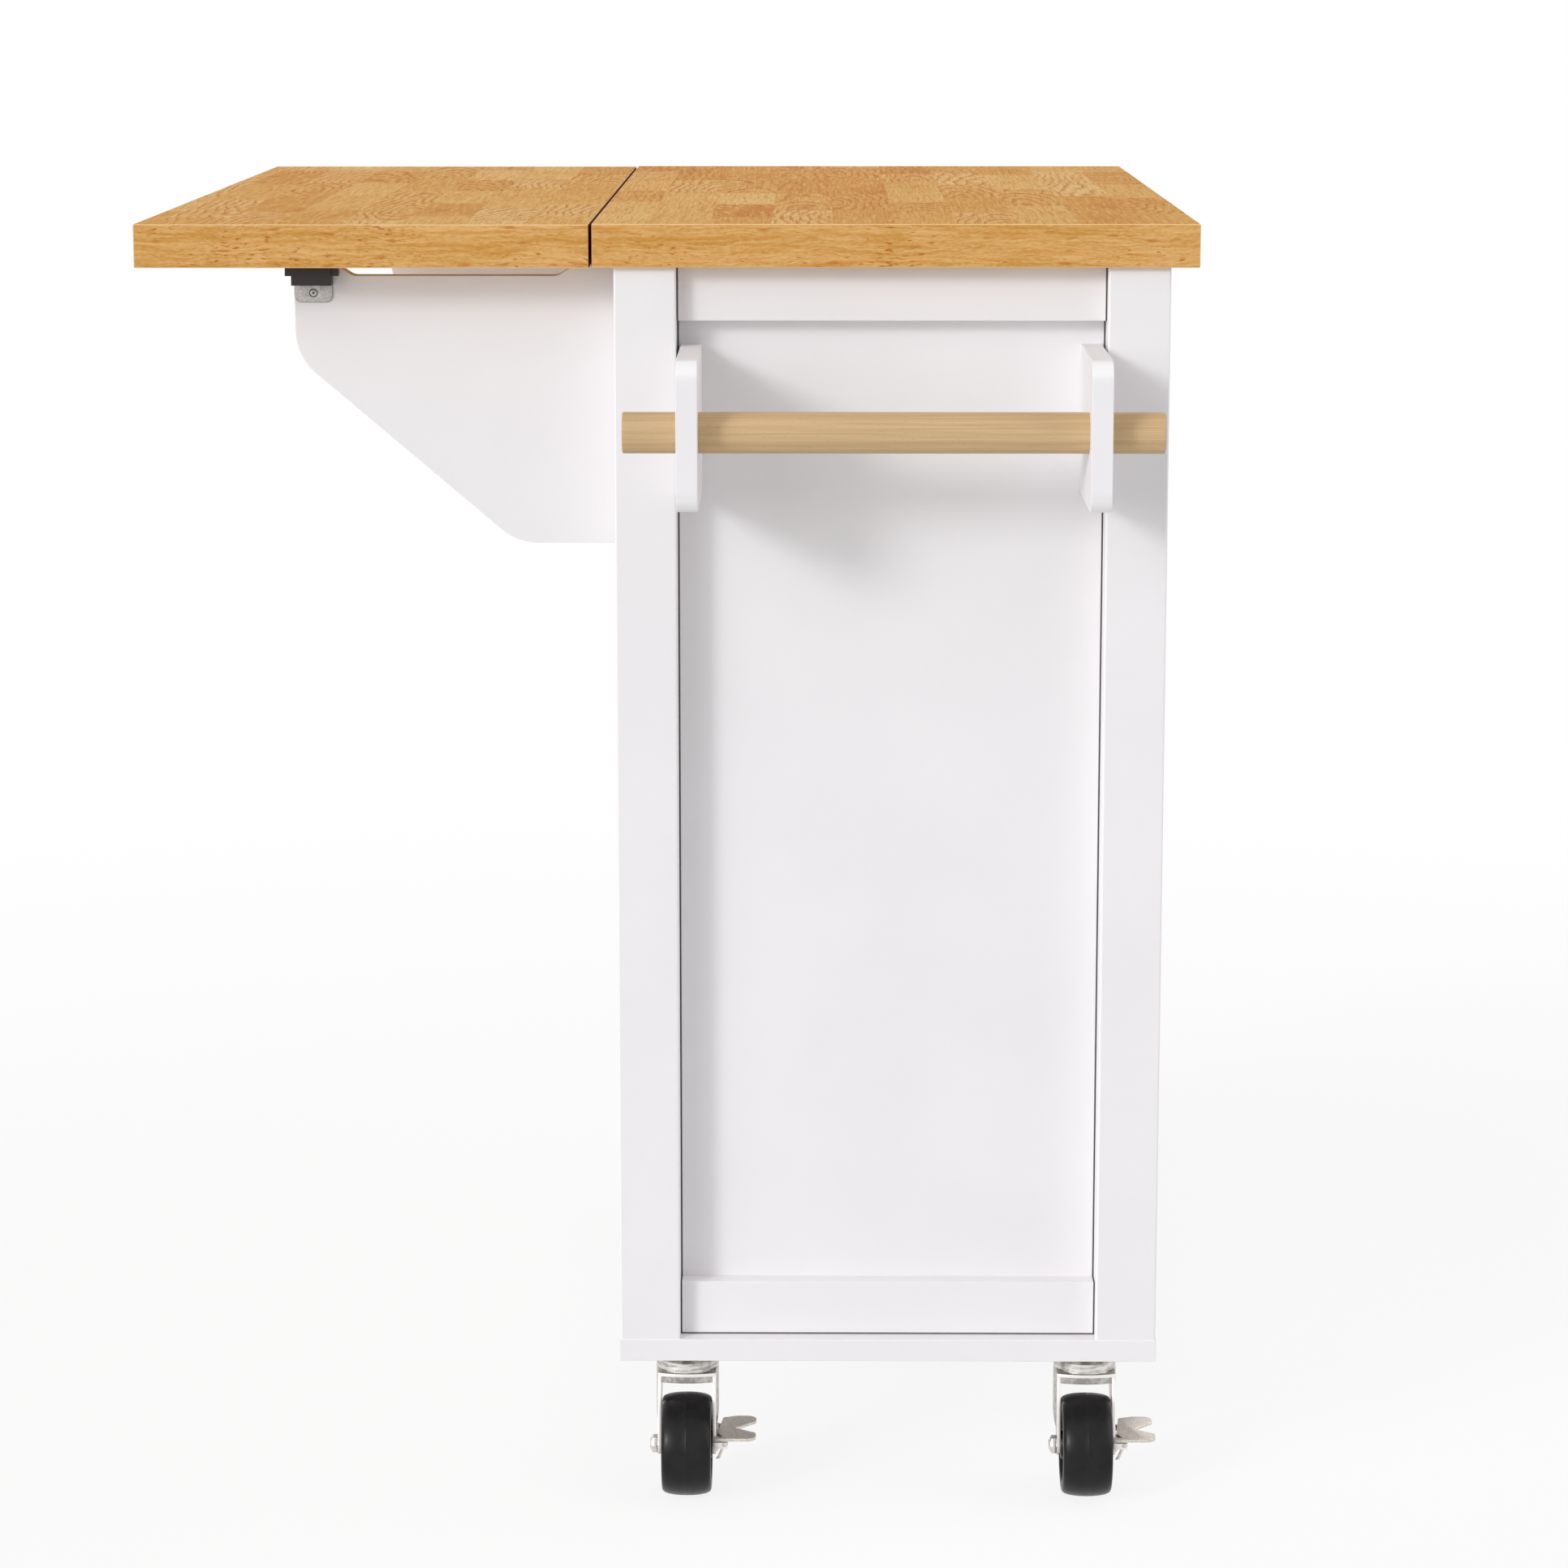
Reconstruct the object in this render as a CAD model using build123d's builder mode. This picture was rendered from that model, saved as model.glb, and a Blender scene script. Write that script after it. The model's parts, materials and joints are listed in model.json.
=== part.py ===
"""Kitchen island cart: a cupboard on four casters with a drop leaf on two swing-out brackets.

Frame: origin on the floor under the middle of the overall footprint, +Z up. +X is the front, with
the doors and the drawer, and the leaf stands out at -X. Left is -Y, the end with the towel rail.
"""

import os

from build123d import *

os.makedirs("parts", exist_ok=True)

# Tops
top_width = 418.0  # fixed top, front to back
leaf_width = 313.0
leaf_gap = 1.6
top_length = 800.0
top_thickness = 30.0
cart_height = 928.0
leaf_step = 0.5  # the leaf lies this much lower than the fixed top
top_arris = 1.0

# Cupboard
body_width = 384.0
body_length = 788.0
front_overhang = 19.2
post_side = 43.0
post_arris = 1.6
board_thickness = 16.0
board_bottom = 113.6
board_lip = 0.6  # the base board stands this proud of the posts
panel_thickness = 15.0
rail_thickness = 15.0
top_rail_height = 38.0
bottom_rail_height = 39.0
board_arris = 0.5
joint_gap = 0.35  # boards that meet end to side stop this short of each other

# Towel rail
arm_reach = 105.0  # from the posts' end face to the tips of the arms
arm_thickness = 14.4
arm_height = 103.0
arm_top = 843.0
arm_corner = 15.0
arm_inset = 2.8  # from a post's inner side to the arm
bar_radius = 14.0
bar_length = 366.0
bar_reach = 74.0  # from the posts' end face to the bar's axis
bar_height = 791.8
bar_fit = 0.15
bar_arris = 0.8

# Front
front_thickness = 18.0
front_setback = 1.0  # doors and drawer front behind the posts' face
rail_setback = 3.0
front_rail_height = 24.0
drawer_front_height = 120.0
front_gap = 2.2
door_border = 55.0
drawer_border = 30.0
field_depth = 6.0
field_bevel = 4.0
knob_height = 20.0
knob_radius = 14.0
knob_foot = 7.5
knob_foot_height = 2.0
knob_neck = (5.2, 6.0)  # radius, and height above the front
knob_flare = (6.5, 10.5)
knob_rim_height = 14.6
knob_inset = 120.0  # the drawer's knobs from the middle of the cart

# Drop leaf brackets
bracket_thickness = 15.0
bracket_reach = 225.0  # beyond the posts' back face
bracket_drop = 196.5  # height of the plate
bracket_edge = 65.0  # upright outer edge, down to where the slope starts
bracket_foot = 71.0  # level lower edge beyond the posts' back face
bracket_corner = 40.0
bracket_clearance = 0.3
notch_depth = 8.5
notch_start = 28.0  # from the outer edge, at the top
notch_length = 169.0
notch_slope = 13.0
notch_floor_corner = 9.0
notch_mouth_corner = 5.0
post_clearance = 1.0

# Butt hinges
hinge_length = 50.0
hinge_width = 30.0
leaf_hinge_length = 60.0
leaf_hinge_reach = 216.0  # the outer leaf hinges from the middle of the cart
hinge_plate = 1.5
hinge_radius = 2.9
hinge_pin = 1.2
leaf_hinge_pin = 1.6
knuckle_root = 0.4  # from the curve of a knuckle to its plate's straight edge
pin_fit = 0.08
knuckle_gap = 0.6

# Pivot hinges of the doors
door_pin = 1.5
door_pin_inset = 5.0  # from the door's face and from its edge
door_pin_depth = 9.0
door_bush = 2.8
door_bush_flange = (4.0, 0.7)
pivot_plate_front = 3.0  # the plate's reach from the pin: forwards, back, outwards and inwards
pivot_plate_back = 7.0
pivot_plate_out = 3.0
pivot_plate_in = 22.0
pivot_plate = 1.2

# Casters
wheel_radius = 37.5
wheel_width = 36.0
fork_gap = 37.6
fork_plate = 2.4
caster_trail = 23.0
caster_inset_x = 46.5
caster_inset_y = 62.0
axle_radius = 4.0
running_fit = 0.08

# Where the pieces stand
overall_width = top_width + leaf_gap + leaf_width
end_overhang = (top_length - body_length) / 2
overall_length = top_length - end_overhang + arm_reach
mid_y = (overall_length - top_length) / 2
underside = cart_height - top_thickness
front_edge = overall_width / 2
back_edge = front_edge - top_width
leaf_edge = back_edge - leaf_gap
body_front = front_edge - front_overhang
body_back = body_front - body_width
body_bottom = board_bottom + board_thickness
half_body = body_length / 2
inner_half = half_body - post_side  # from the middle to the posts' inner sides
hinge_standoff = hinge_radius + 0.4  # a hinge axis from the face that its plate lies on
back_recess = 2 * hinge_standoff + bracket_thickness + 0.5
back_face = body_back + back_recess
back_panel_thickness = 12.0
inside_back = back_face + back_panel_thickness
SIDES = (("left", -1), ("right", 1))


def save(piece, name):
    """Labels a finished piece and writes it to its own file."""
    piece.part.label = name
    export_step(piece.part, f"parts/{name}.step")


def along(side, offset):
    """The Y of a point that is offset from the middle of the cart, towards one end."""
    return mid_y + side * offset


def block(low, high):
    """Adds a box between two corners, given in any order, to the part being built."""
    size = (abs(b - a) for a, b in zip(low, high))
    middle = tuple((a + b) / 2 for a, b in zip(low, high))
    with Locations(middle):
        Box(*size)


def board(name, low, high, arris=board_arris):
    """A plain board with its sharp edges taken off."""
    with BuildPart() as piece:
        block(low, high)
        fillet(piece.edges(), arris)
    save(piece, name)


# ---- Tops ----
board(
    "main_top",
    (back_edge, along(-1, top_length / 2), underside),
    (front_edge, along(1, top_length / 2), cart_height),
    top_arris,
)
board(
    "drop_leaf",
    (leaf_edge - leaf_width, along(-1, top_length / 2), underside - leaf_step),
    (leaf_edge, along(1, top_length / 2), cart_height - leaf_step),
    top_arris,
)

# ---- Base board and corner posts ----
board(
    "base_board",
    (body_back - board_lip, along(-1, half_body + board_lip), board_bottom),
    (body_front + board_lip, along(1, half_body + board_lip), body_bottom),
)
for end, side in SIDES:
    for row, face, inward in (("back", body_back, 1), ("front", body_front, -1)):
        with BuildPart() as post:
            block(
                (face, along(side, half_body), body_bottom),
                (face + inward * post_side, along(side, inner_half), underside),
            )
            fillet(post.edges().filter_by(Axis.Z), post_arris)
        save(post, f"{end}_{row}_post")

# ---- Ends: a panel with a rail over its top and its foot ----
panel_left = body_back + post_side
panel_right = body_front - post_side
panel_face = inner_half + panel_thickness
rail_face = panel_face + rail_thickness
shelf_z = 430.0
shelf_pin_radius = 2.5
shelf_pin_inset = 30.0
shelf_pin_depth = 10.0
shelf_pin_step = 64.0
shelf_pin_x = (panel_left + shelf_pin_inset, panel_right - shelf_pin_inset)
for end, side in SIDES:
    inner_side = Plane(
        origin=(0, along(side, inner_half), 0), x_dir=(1, 0, 0), z_dir=(0, -side, 0)
    )
    with BuildPart() as end_panel:
        block(
            (panel_left + joint_gap, along(side, inner_half), body_bottom),
            (panel_right - joint_gap, along(side, panel_face), underside),
        )
        for x in shelf_pin_x:
            for step in (-1, 0, 1):
                hole_z = shelf_z - shelf_pin_radius + step * shelf_pin_step
                spot = inner_side.to_local_coords(Vector(x, along(side, inner_half), hole_z))
                with BuildSketch(inner_side):
                    with Locations((spot.X, spot.Y)):
                        Circle(shelf_pin_radius)
        extrude(amount=-shelf_pin_depth, mode=Mode.SUBTRACT)
    save(end_panel, f"{end}_end_panel")

    with BuildPart() as end_rails:
        for low_z, high_z in (
            (underside - top_rail_height, underside),
            (body_bottom + joint_gap, body_bottom + bottom_rail_height),
        ):
            block(
                (panel_left + joint_gap, along(side, panel_face), low_z),
                (panel_right - joint_gap, along(side, rail_face), high_z),
            )
        fillet(end_rails.edges().filter_by(Axis.X), board_arris)
    save(end_rails, f"{end}_end_rails")

# ---- Back ----
board(
    "back_panel",
    (back_face, along(-1, inner_half - joint_gap), body_bottom),
    (inside_back, along(1, inner_half - joint_gap), underside),
)
board(
    "back_bottom_rail",
    (back_face - rail_thickness, along(-1, inner_half - joint_gap), body_bottom),
    (back_face, along(1, inner_half - joint_gap), body_bottom + bottom_rail_height),
)

# ---- Front rails ----
drawer_top = underside - front_rail_height - front_gap
drawer_bottom = drawer_top - drawer_front_height
drawer_rail_top = drawer_bottom - front_gap
door_top = drawer_rail_top - front_rail_height - front_gap
door_bottom = body_bottom + bottom_rail_height + front_gap
rail_front = body_front - rail_setback
for name, low_z, high_z in (
    ("front_top_rail", underside - front_rail_height, underside),
    ("front_drawer_rail", drawer_rail_top - front_rail_height, drawer_rail_top),
    ("front_bottom_rail", body_bottom, body_bottom + bottom_rail_height),
):
    board(
        name,
        (rail_front - front_thickness, along(-1, inner_half - joint_gap), low_z),
        (rail_front, along(1, inner_half - joint_gap), high_z),
    )

# ---- Shelf on its pins ----
front_face = body_front - front_setback
front_back = front_face - front_thickness
shelf_play = 1.0
shelf_setback = 8.0
shelf_pin_out = 9.0
shelf_pin_in = 9.5
shelf_pin_play = 0.05
board(
    "shelf",
    (inside_back + shelf_play, along(-1, inner_half - shelf_play), shelf_z),
    (front_back - shelf_setback, along(1, inner_half - shelf_play), shelf_z + panel_thickness),
)
with BuildPart() as shelf_pins:
    for end, side in SIDES:
        for x in shelf_pin_x:
            tip = Plane(
                origin=(
                    x,
                    along(side, inner_half - shelf_pin_out),
                    shelf_z - shelf_pin_radius,
                ),
                z_dir=(0, side, 0),
            )
            with BuildSketch(tip):
                Circle(shelf_pin_radius - shelf_pin_play)
            extrude(amount=shelf_pin_out + shelf_pin_in)
save(shelf_pins, "shelf_pins")

# ---- Towel rail: two arms on the left end panel, with the bar through both ----
arm_back_y = along(-1, panel_face)
arm_tip_y = along(-1, half_body + arm_reach)
bar_y = along(-1, half_body + bar_reach)
arm_faces = {
    "back_towel_arm": panel_left + arm_inset,
    "front_towel_arm": panel_right - arm_inset - arm_thickness,
}
for name, x in arm_faces.items():
    arm_side = Plane(origin=(x, 0, 0), x_dir=(0, 1, 0), z_dir=(1, 0, 0))
    with BuildPart() as arm:
        with BuildSketch(arm_side):
            with Locations(((arm_back_y + arm_tip_y) / 2, arm_top - arm_height / 2)):
                Rectangle(arm_back_y - arm_tip_y, arm_height)
            fillet(vertices().group_by(Axis.X)[0], arm_corner)
        extrude(amount=arm_thickness)
        fillet(arm.faces().filter_by(Axis.X).edges(), board_arris)
        with BuildSketch(arm_side):
            with Locations((bar_y, bar_height)):
                Circle(bar_radius + bar_fit)
        extrude(amount=arm_thickness, mode=Mode.SUBTRACT)
    save(arm, name)

bar_start = (body_back + body_front - bar_length) / 2
with BuildPart() as towel_bar:
    with BuildSketch(
        Plane(origin=(bar_start, bar_y, bar_height), z_dir=(1, 0, 0))
    ):
        Circle(bar_radius)
    extrude(amount=bar_length)
    fillet(towel_bar.faces().filter_by(Axis.X).edges(), bar_arris)
save(towel_bar, "towel_bar")

# ---- Support brackets: plates that swing out on butt hinges at the back ----
pivot_x = back_face - hinge_standoff
pivot_half = inner_half - post_clearance - bracket_thickness - hinge_standoff
bracket_top = underside - leaf_step - bracket_clearance
bracket_outer = body_back - bracket_reach
bracket_bottom = bracket_top - bracket_drop
bracket_root_x = pivot_x - 0.5  # the plate's edge at its hinge
foot_x = body_back - bracket_foot
notch_outer = bracket_outer + notch_start
notch_floor = bracket_top - notch_depth
bracket_outline = (
    (bracket_root_x, bracket_bottom),
    (bracket_root_x, bracket_top),
    (notch_outer + notch_length, bracket_top),
    (notch_outer + notch_length - notch_slope, notch_floor),
    (notch_outer + notch_slope, notch_floor),
    (notch_outer, bracket_top),
    (bracket_outer, bracket_top),
    (bracket_outer, bracket_top - bracket_edge),
    (foot_x, bracket_bottom),
)
for end, side in SIDES:
    far_face = along(side, pivot_half + hinge_standoff)
    with BuildPart() as bracket:
        with BuildSketch(
            Plane(origin=(0, far_face, 0), x_dir=(1, 0, 0), z_dir=(0, -1, 0))
        ):
            with BuildLine():
                Polyline(*bracket_outline, close=True)
            make_face()
            slope_ends = vertices().filter_by(
                lambda v: v.X < foot_x + 1 and v.Y < notch_floor - 1
            )
            fillet(slope_ends, bracket_corner)
            fillet(vertices().filter_by(lambda v: v.Y == notch_floor), notch_floor_corner)
            mouth_x = (notch_outer, notch_outer + notch_length)
            fillet(vertices().filter_by(lambda v: v.X in mouth_x), notch_mouth_corner)
        extrude(amount=-side * bracket_thickness)
        fillet(bracket.faces().sort_by(Axis.Y)[0].edges(), board_arris)
        fillet(bracket.faces().sort_by(Axis.Y)[-1].edges(), board_arris)
    save(bracket, f"{end}_support_bracket")

# ---- Butt hinges ----
def fixed_half(places, length, width, inner, outer, knuckle, pin):
    """Hinge halves that carry the pin. At each place Z is the pin, the plate runs along +X, and its
    two faces are at the distances inner and outer from the pin's axis, towards +Y."""
    third = length / 3
    start = (knuckle**2 - inner**2) ** 0.5 + knuckle_root
    with BuildPart(*places) as half:
        Cylinder(pin, length)
        with Locations((0, 0, third), (0, 0, -third)):
            Cylinder(knuckle, third)
        with Locations(((start + width) / 2, (inner + outer) / 2, 0)):
            Box(width - start, outer - inner, length)
        with Locations(*(((start / 2), (inner + outer) / 2, z) for z in (third, -third))):
            Box(start, outer - inner, third)
    return half


def moving_half(places, length, width, inner, outer, knuckle, pin):
    """The other halves, with one knuckle that turns on the pin."""
    third = length / 3
    middle = third - knuckle_gap
    start = (knuckle**2 - inner**2) ** 0.5 + knuckle_root
    with BuildPart(*places) as half:
        Cylinder(knuckle, middle)
        with Locations(((start + width) / 2, (inner + outer) / 2, 0)):
            Box(width - start, outer - inner, length)
        with Locations((start / 2, (inner + outer) / 2, 0)):
            Box(start, outer - inner, middle)
        Cylinder(pin + pin_fit, length, mode=Mode.SUBTRACT)
    return half


# Leaf hinges: plates under the tops, with the pin under the gap
leaf_pin = (leaf_edge + leaf_gap / 2, underside - hinge_standoff)
leaf_hinge_y = [along(side, leaf_hinge_reach) for _, side in SIDES] + [mid_y]
leaf_hinge_plates = fixed_half(
    [
        Plane(origin=(leaf_pin[0], y, leaf_pin[1]), x_dir=(1, 0, 0), z_dir=(0, -1, 0))
        for y in leaf_hinge_y
    ],
    leaf_hinge_length,
    hinge_width,
    hinge_standoff - hinge_plate,
    hinge_standoff,
    hinge_radius,
    leaf_hinge_pin,
)
save(leaf_hinge_plates, "leaf_hinge_plates")
leaf_hinge_flaps = moving_half(
    [
        Plane(origin=(leaf_pin[0], y, leaf_pin[1]), x_dir=(-1, 0, 0), z_dir=(0, 1, 0))
        for y in leaf_hinge_y
    ],
    leaf_hinge_length,
    hinge_width,
    hinge_standoff - leaf_step - hinge_plate,
    hinge_standoff - leaf_step,
    hinge_radius,
    leaf_hinge_pin,
)
save(leaf_hinge_flaps, "leaf_hinge_flaps")

# Bracket hinges: one plate on the back panel, the other on the bracket's inner face
bracket_hinge_z = (bracket_bottom + 40, bracket_top - 52)  # below the slope and the notch


def bracket_pins(side, x_dir, z_up):
    return [
        Plane(
            origin=(pivot_x, along(side, pivot_half), z),
            x_dir=x_dir,
            z_dir=(0, 0, z_up),
        )
        for z in bracket_hinge_z
    ]


bracket_hinge_plates = fixed_half(
    [
        place
        for _, side in SIDES
        for place in bracket_pins(side, (0, -side, 0), side)
    ],
    hinge_length,
    hinge_width,
    hinge_standoff - hinge_plate,
    hinge_standoff,
    hinge_radius,
    hinge_pin,
)
save(bracket_hinge_plates, "bracket_hinge_plates")
for end, side in SIDES:
    flaps = moving_half(
        bracket_pins(side, (-1, 0, 0), -side),
        hinge_length,
        hinge_width,
        hinge_standoff - hinge_plate,
        hinge_standoff,
        hinge_radius,
        hinge_pin,
    )
    save(flaps, f"{end}_bracket_hinge_flaps")

# ---- Magnetic catches under the leaf, and their strike plates on the brackets ----
strike_width = 26.8
strike_height = 25.0
strike_thickness = 1.2
strike_top = bracket_top - 2.0
strike_corner = 5.0
strike_screw = 2.2
strike_screw_rise = 6.5  # from the plate's lower edge
catch_gap = 0.3
catch_body = (27.9, 14.0, 14.7)
catch_ears = (37.0, 10.0, 8.2)
catch_ear_setback = 2.0
catch_corner = 0.8
leaf_under = underside - leaf_step
strike_x = bracket_outer + strike_width / 2
near_half = pivot_half + hinge_standoff + bracket_thickness
for end, side in SIDES:
    strike_face = Plane(
        origin=(strike_x, along(side, near_half), strike_top - strike_height / 2),
        x_dir=(1, 0, 0),
        z_dir=(0, -1, 0),
    )
    with BuildPart() as strike:
        with BuildSketch(strike_face):
            Rectangle(strike_width, strike_height)
            fillet(vertices().group_by(Axis.Y)[0], strike_corner)
            with Locations((0, strike_screw_rise - strike_height / 2)):
                Circle(strike_screw, mode=Mode.SUBTRACT)
        extrude(amount=-side * strike_thickness)
    save(strike, f"{end}_strike_plate")

magnet_half = near_half + strike_thickness + catch_gap
ears_half = magnet_half + catch_ear_setback
with BuildPart() as catches:
    for _, side in SIDES:
        block(
            (strike_x - catch_body[0] / 2, along(side, magnet_half), leaf_under),
            (
                strike_x + catch_body[0] / 2,
                along(side, magnet_half + catch_body[1]),
                leaf_under - catch_body[2],
            ),
        )
        block(
            (strike_x - catch_ears[0] / 2, along(side, ears_half), leaf_under),
            (
                strike_x + catch_ears[0] / 2,
                along(side, ears_half + catch_ears[1]),
                leaf_under - catch_ears[2],
            ),
        )
    fillet(catches.edges().filter_by(Axis.Z), catch_corner)
save(catches, "leaf_catches")

# ---- Doors ----
def framed_front(low, high, border):
    """A front board with a sunk field and a bevel round it, routed from one piece."""
    with BuildPart() as front:
        block(low, high)
        fillet(front.edges(), board_arris)
        front_plane = Plane(
            origin=(high[0], (low[1] + high[1]) / 2, (low[2] + high[2]) / 2),
            x_dir=(0, 1, 0),
            z_dir=(1, 0, 0),
        )
        for depth, inset in ((0.0, border), (field_depth, border + field_bevel)):
            with BuildSketch(front_plane.offset(-depth)):
                Rectangle(high[1] - low[1] - 2 * inset, high[2] - low[2] - 2 * inset)
        loft(mode=Mode.SUBTRACT)
    return front


def knobs(places):
    """Turned knobs, each standing on a front at its place, with +Z away from the front."""
    with BuildPart() as turned:
        for x, y, z in places:
            with BuildSketch(Plane(origin=(x, y, z), x_dir=(0, 0, 1), z_dir=(0, 1, 0))):
                with BuildLine():
                    Polyline((0, 0), (knob_foot, 0), (knob_foot, knob_foot_height))
                    Spline(
                        (knob_foot, knob_foot_height),
                        knob_neck,
                        knob_flare,
                        tangents=((-0.4, 1), (0.8, 1)),
                    )
                    Spline(
                        knob_flare,
                        (knob_radius, knob_rim_height),
                        (0, knob_height),
                        tangents=((1, 0.25), (-1, 0)),
                    )
                    Line((0, knob_height), (0, 0))
                make_face()
            revolve(axis=Axis((x, y, z), (1, 0, 0)))
    return turned


door_meet = 1.3  # half of the gap between the two doors
door_pin_x = front_face - door_pin_inset
door_pin_half = inner_half - front_gap - door_pin_inset
door_knob_z = door_top - 90.0
# The doors' lower and upper edges, each with the way from its rail towards the door
door_levels = ((door_bottom, 1), (door_top, -1))


def door_pivots(side):
    """Planes on a door's lower and upper edges at its pins, with +Z into the door."""
    return [
        Plane(origin=(door_pin_x, along(side, door_pin_half), z), z_dir=(0, 0, up))
        for z, up in door_levels
    ]


with BuildPart() as pivot_pins:
    for _, side in SIDES:
        for z, up in door_levels:
            rail_z = z - up * front_gap
            block(
                (
                    door_pin_x + pivot_plate_front,
                    along(side, door_pin_half + pivot_plate_out),
                    rail_z,
                ),
                (
                    door_pin_x - pivot_plate_back,
                    along(side, door_pin_half - pivot_plate_in),
                    rail_z + up * pivot_plate,
                ),
            )
        for pivot in door_pivots(side):
            with BuildSketch(pivot.offset(-front_gap)):
                Circle(door_pin)
            extrude(amount=front_gap + door_pin_depth - 1.0)
save(pivot_pins, "door_pivot_pins")
for end, side in SIDES:
    door_y = sorted((along(side, door_meet), along(side, inner_half - front_gap)))
    door = framed_front(
        (front_back, door_y[0], door_bottom), (front_face, door_y[1], door_top), door_border
    )
    with BuildPart() as bored_door:
        add(door.part)
        for pivot in door_pivots(side):
            with BuildSketch(pivot):
                Circle(door_bush)
            extrude(amount=door_pin_depth, mode=Mode.SUBTRACT)
    save(bored_door, f"{end}_door")
    save(
        knobs([(front_face, along(side, door_meet + door_border / 2), door_knob_z)]),
        f"{end}_door_knob",
    )
    with BuildPart() as bushes:
        for pivot in door_pivots(side):
            with BuildSketch(pivot):
                Circle(door_bush)
            extrude(amount=door_pin_depth)
            with BuildSketch(pivot):
                Circle(door_bush_flange[0])
            extrude(amount=-door_bush_flange[1])
            with BuildSketch(pivot.offset(-door_bush_flange[1])):
                Circle(door_pin + pin_fit)
            extrude(amount=door_bush_flange[1] + door_pin_depth, mode=Mode.SUBTRACT)
    save(bushes, f"{end}_door_bushes")

# ---- Drawer on its runners ----
drawer_z = (drawer_bottom + drawer_top) / 2
drawer_low = drawer_bottom + 10.0
drawer_side_height = 90.0
drawer_side = 12.0
drawer_rear_room = 30.0
drawer_floor_rise = 8.0
drawer_floor_height = 5.0
runner_space = 12.7
runner_wall = 1.2
runner_height = 36.0
runner_lip = 10.0
slide_height = 30.0
slide_lip = 9.2
drawer_half = inner_half - runner_space
drawer_back = inside_back + drawer_rear_room
drawer_floor = (drawer_low + drawer_floor_rise, drawer_low + drawer_floor_rise + drawer_floor_height)
groove = 5.0
groove_play = 0.2
panel_arris = 0.3
runner_x = (inside_back + 22.0, front_back - 6.0)
save(
    framed_front(
        (front_back, along(-1, inner_half - front_gap), drawer_bottom),
        (front_face, along(1, inner_half - front_gap), drawer_top),
        drawer_border,
    ),
    "drawer_front",
)
drawer_knobs = knobs([(front_face, along(side, knob_inset), drawer_z) for _, side in SIDES])
save(drawer_knobs, "drawer_knobs")
with BuildPart() as drawer_box:
    for _, side in SIDES:
        block(
            (drawer_back, along(side, drawer_half), drawer_low),
            (front_back, along(side, drawer_half - drawer_side), drawer_low + drawer_side_height),
        )
    block(
        (drawer_back, along(-1, drawer_half - drawer_side), drawer_low),
        (
            drawer_back + drawer_side,
            along(1, drawer_half - drawer_side),
            drawer_low + drawer_side_height,
        ),
    )
    with Locations(
        (
            (drawer_back + drawer_side - groove + front_back) / 2,
            mid_y,
            sum(drawer_floor) / 2,
        )
    ):
        Box(
            front_back - drawer_back - drawer_side + groove,
            2 * (drawer_half - drawer_side + groove),
            drawer_floor[1] - drawer_floor[0],
            mode=Mode.SUBTRACT,
        )
save(drawer_box, "drawer_box")
board(
    "drawer_bottom",
    (
        drawer_back + drawer_side - groove + groove_play,
        along(-1, drawer_half - drawer_side + groove - groove_play),
        drawer_floor[0] + groove_play,
    ),
    (
        front_back,
        along(1, drawer_half - drawer_side + groove - groove_play),
        drawer_floor[1] - groove_play,
    ),
    panel_arris,
)


def channels(web_half, lip_half, height, x_range):
    """A pair of C-shaped steel runners, one for each end: the web is at one distance from the
    middle and the lips reach to the other."""
    inward = -1 if lip_half < web_half else 1
    with BuildPart() as pair:
        for _, side in SIDES:
            block(
                (x_range[0], along(side, web_half), drawer_z - height / 2),
                (
                    x_range[1],
                    along(side, web_half + inward * runner_wall),
                    drawer_z + height / 2,
                ),
            )
            for edge in (-1, 1):
                block(
                    (x_range[0], along(side, web_half), drawer_z + edge * height / 2),
                    (
                        x_range[1],
                        along(side, lip_half),
                        drawer_z + edge * (height / 2 - runner_wall),
                    ),
                )
    return pair


save(
    channels(inner_half, inner_half - runner_lip, runner_height, runner_x),
    "drawer_runners",
)
save(
    channels(drawer_half, drawer_half + slide_lip, slide_height, runner_x),
    "drawer_slides",
)

# ---- Casters ----
crown_radius = 22.8
crown_flat = 17.5  # radius of the crown's level top
crown_top = 102.5
crown_shoulder = 97.5
lip_top = 90.4
lip_bulge = 3.4  # from the legs' front edges to the middle of the lip's
skirt_bottom = 83.0
skirt_inset = 1.2  # the skirt behind the lip's edge
skirt_wall = 1.6
leg_top = 91.0
leg_back = 17.0
leg_front = -21.0
leg_round = 4.9
boss_radius = 7.6
king_pin = 5.0
king_pin_head = (9.0, 2.4)
mount_plate = (60.0, 60.0, 2.5)
mount_corner = 6.0
mount_holes = 44.0
mount_hole_radius = 2.6
bearing_cone = (17.0, 21.0, 8.0)  # lower and upper radius, height
nut_size = 7.0
nut_height = 5.2
nut_play = 0.05
bolt_end = 0.6  # the bolt stands this far out of its nut
bolt_head = (6.0, 1.8)
fork_outer = fork_gap / 2 + fork_plate
caster_spots = {
    f"{row}_{end}": (x, along(side, half_body - caster_inset_y), end == "left")
    for end, side in SIDES
    for row, x in (
        ("back", body_back + caster_inset_x),
        ("front", body_front - caster_inset_x),
    )
}
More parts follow.
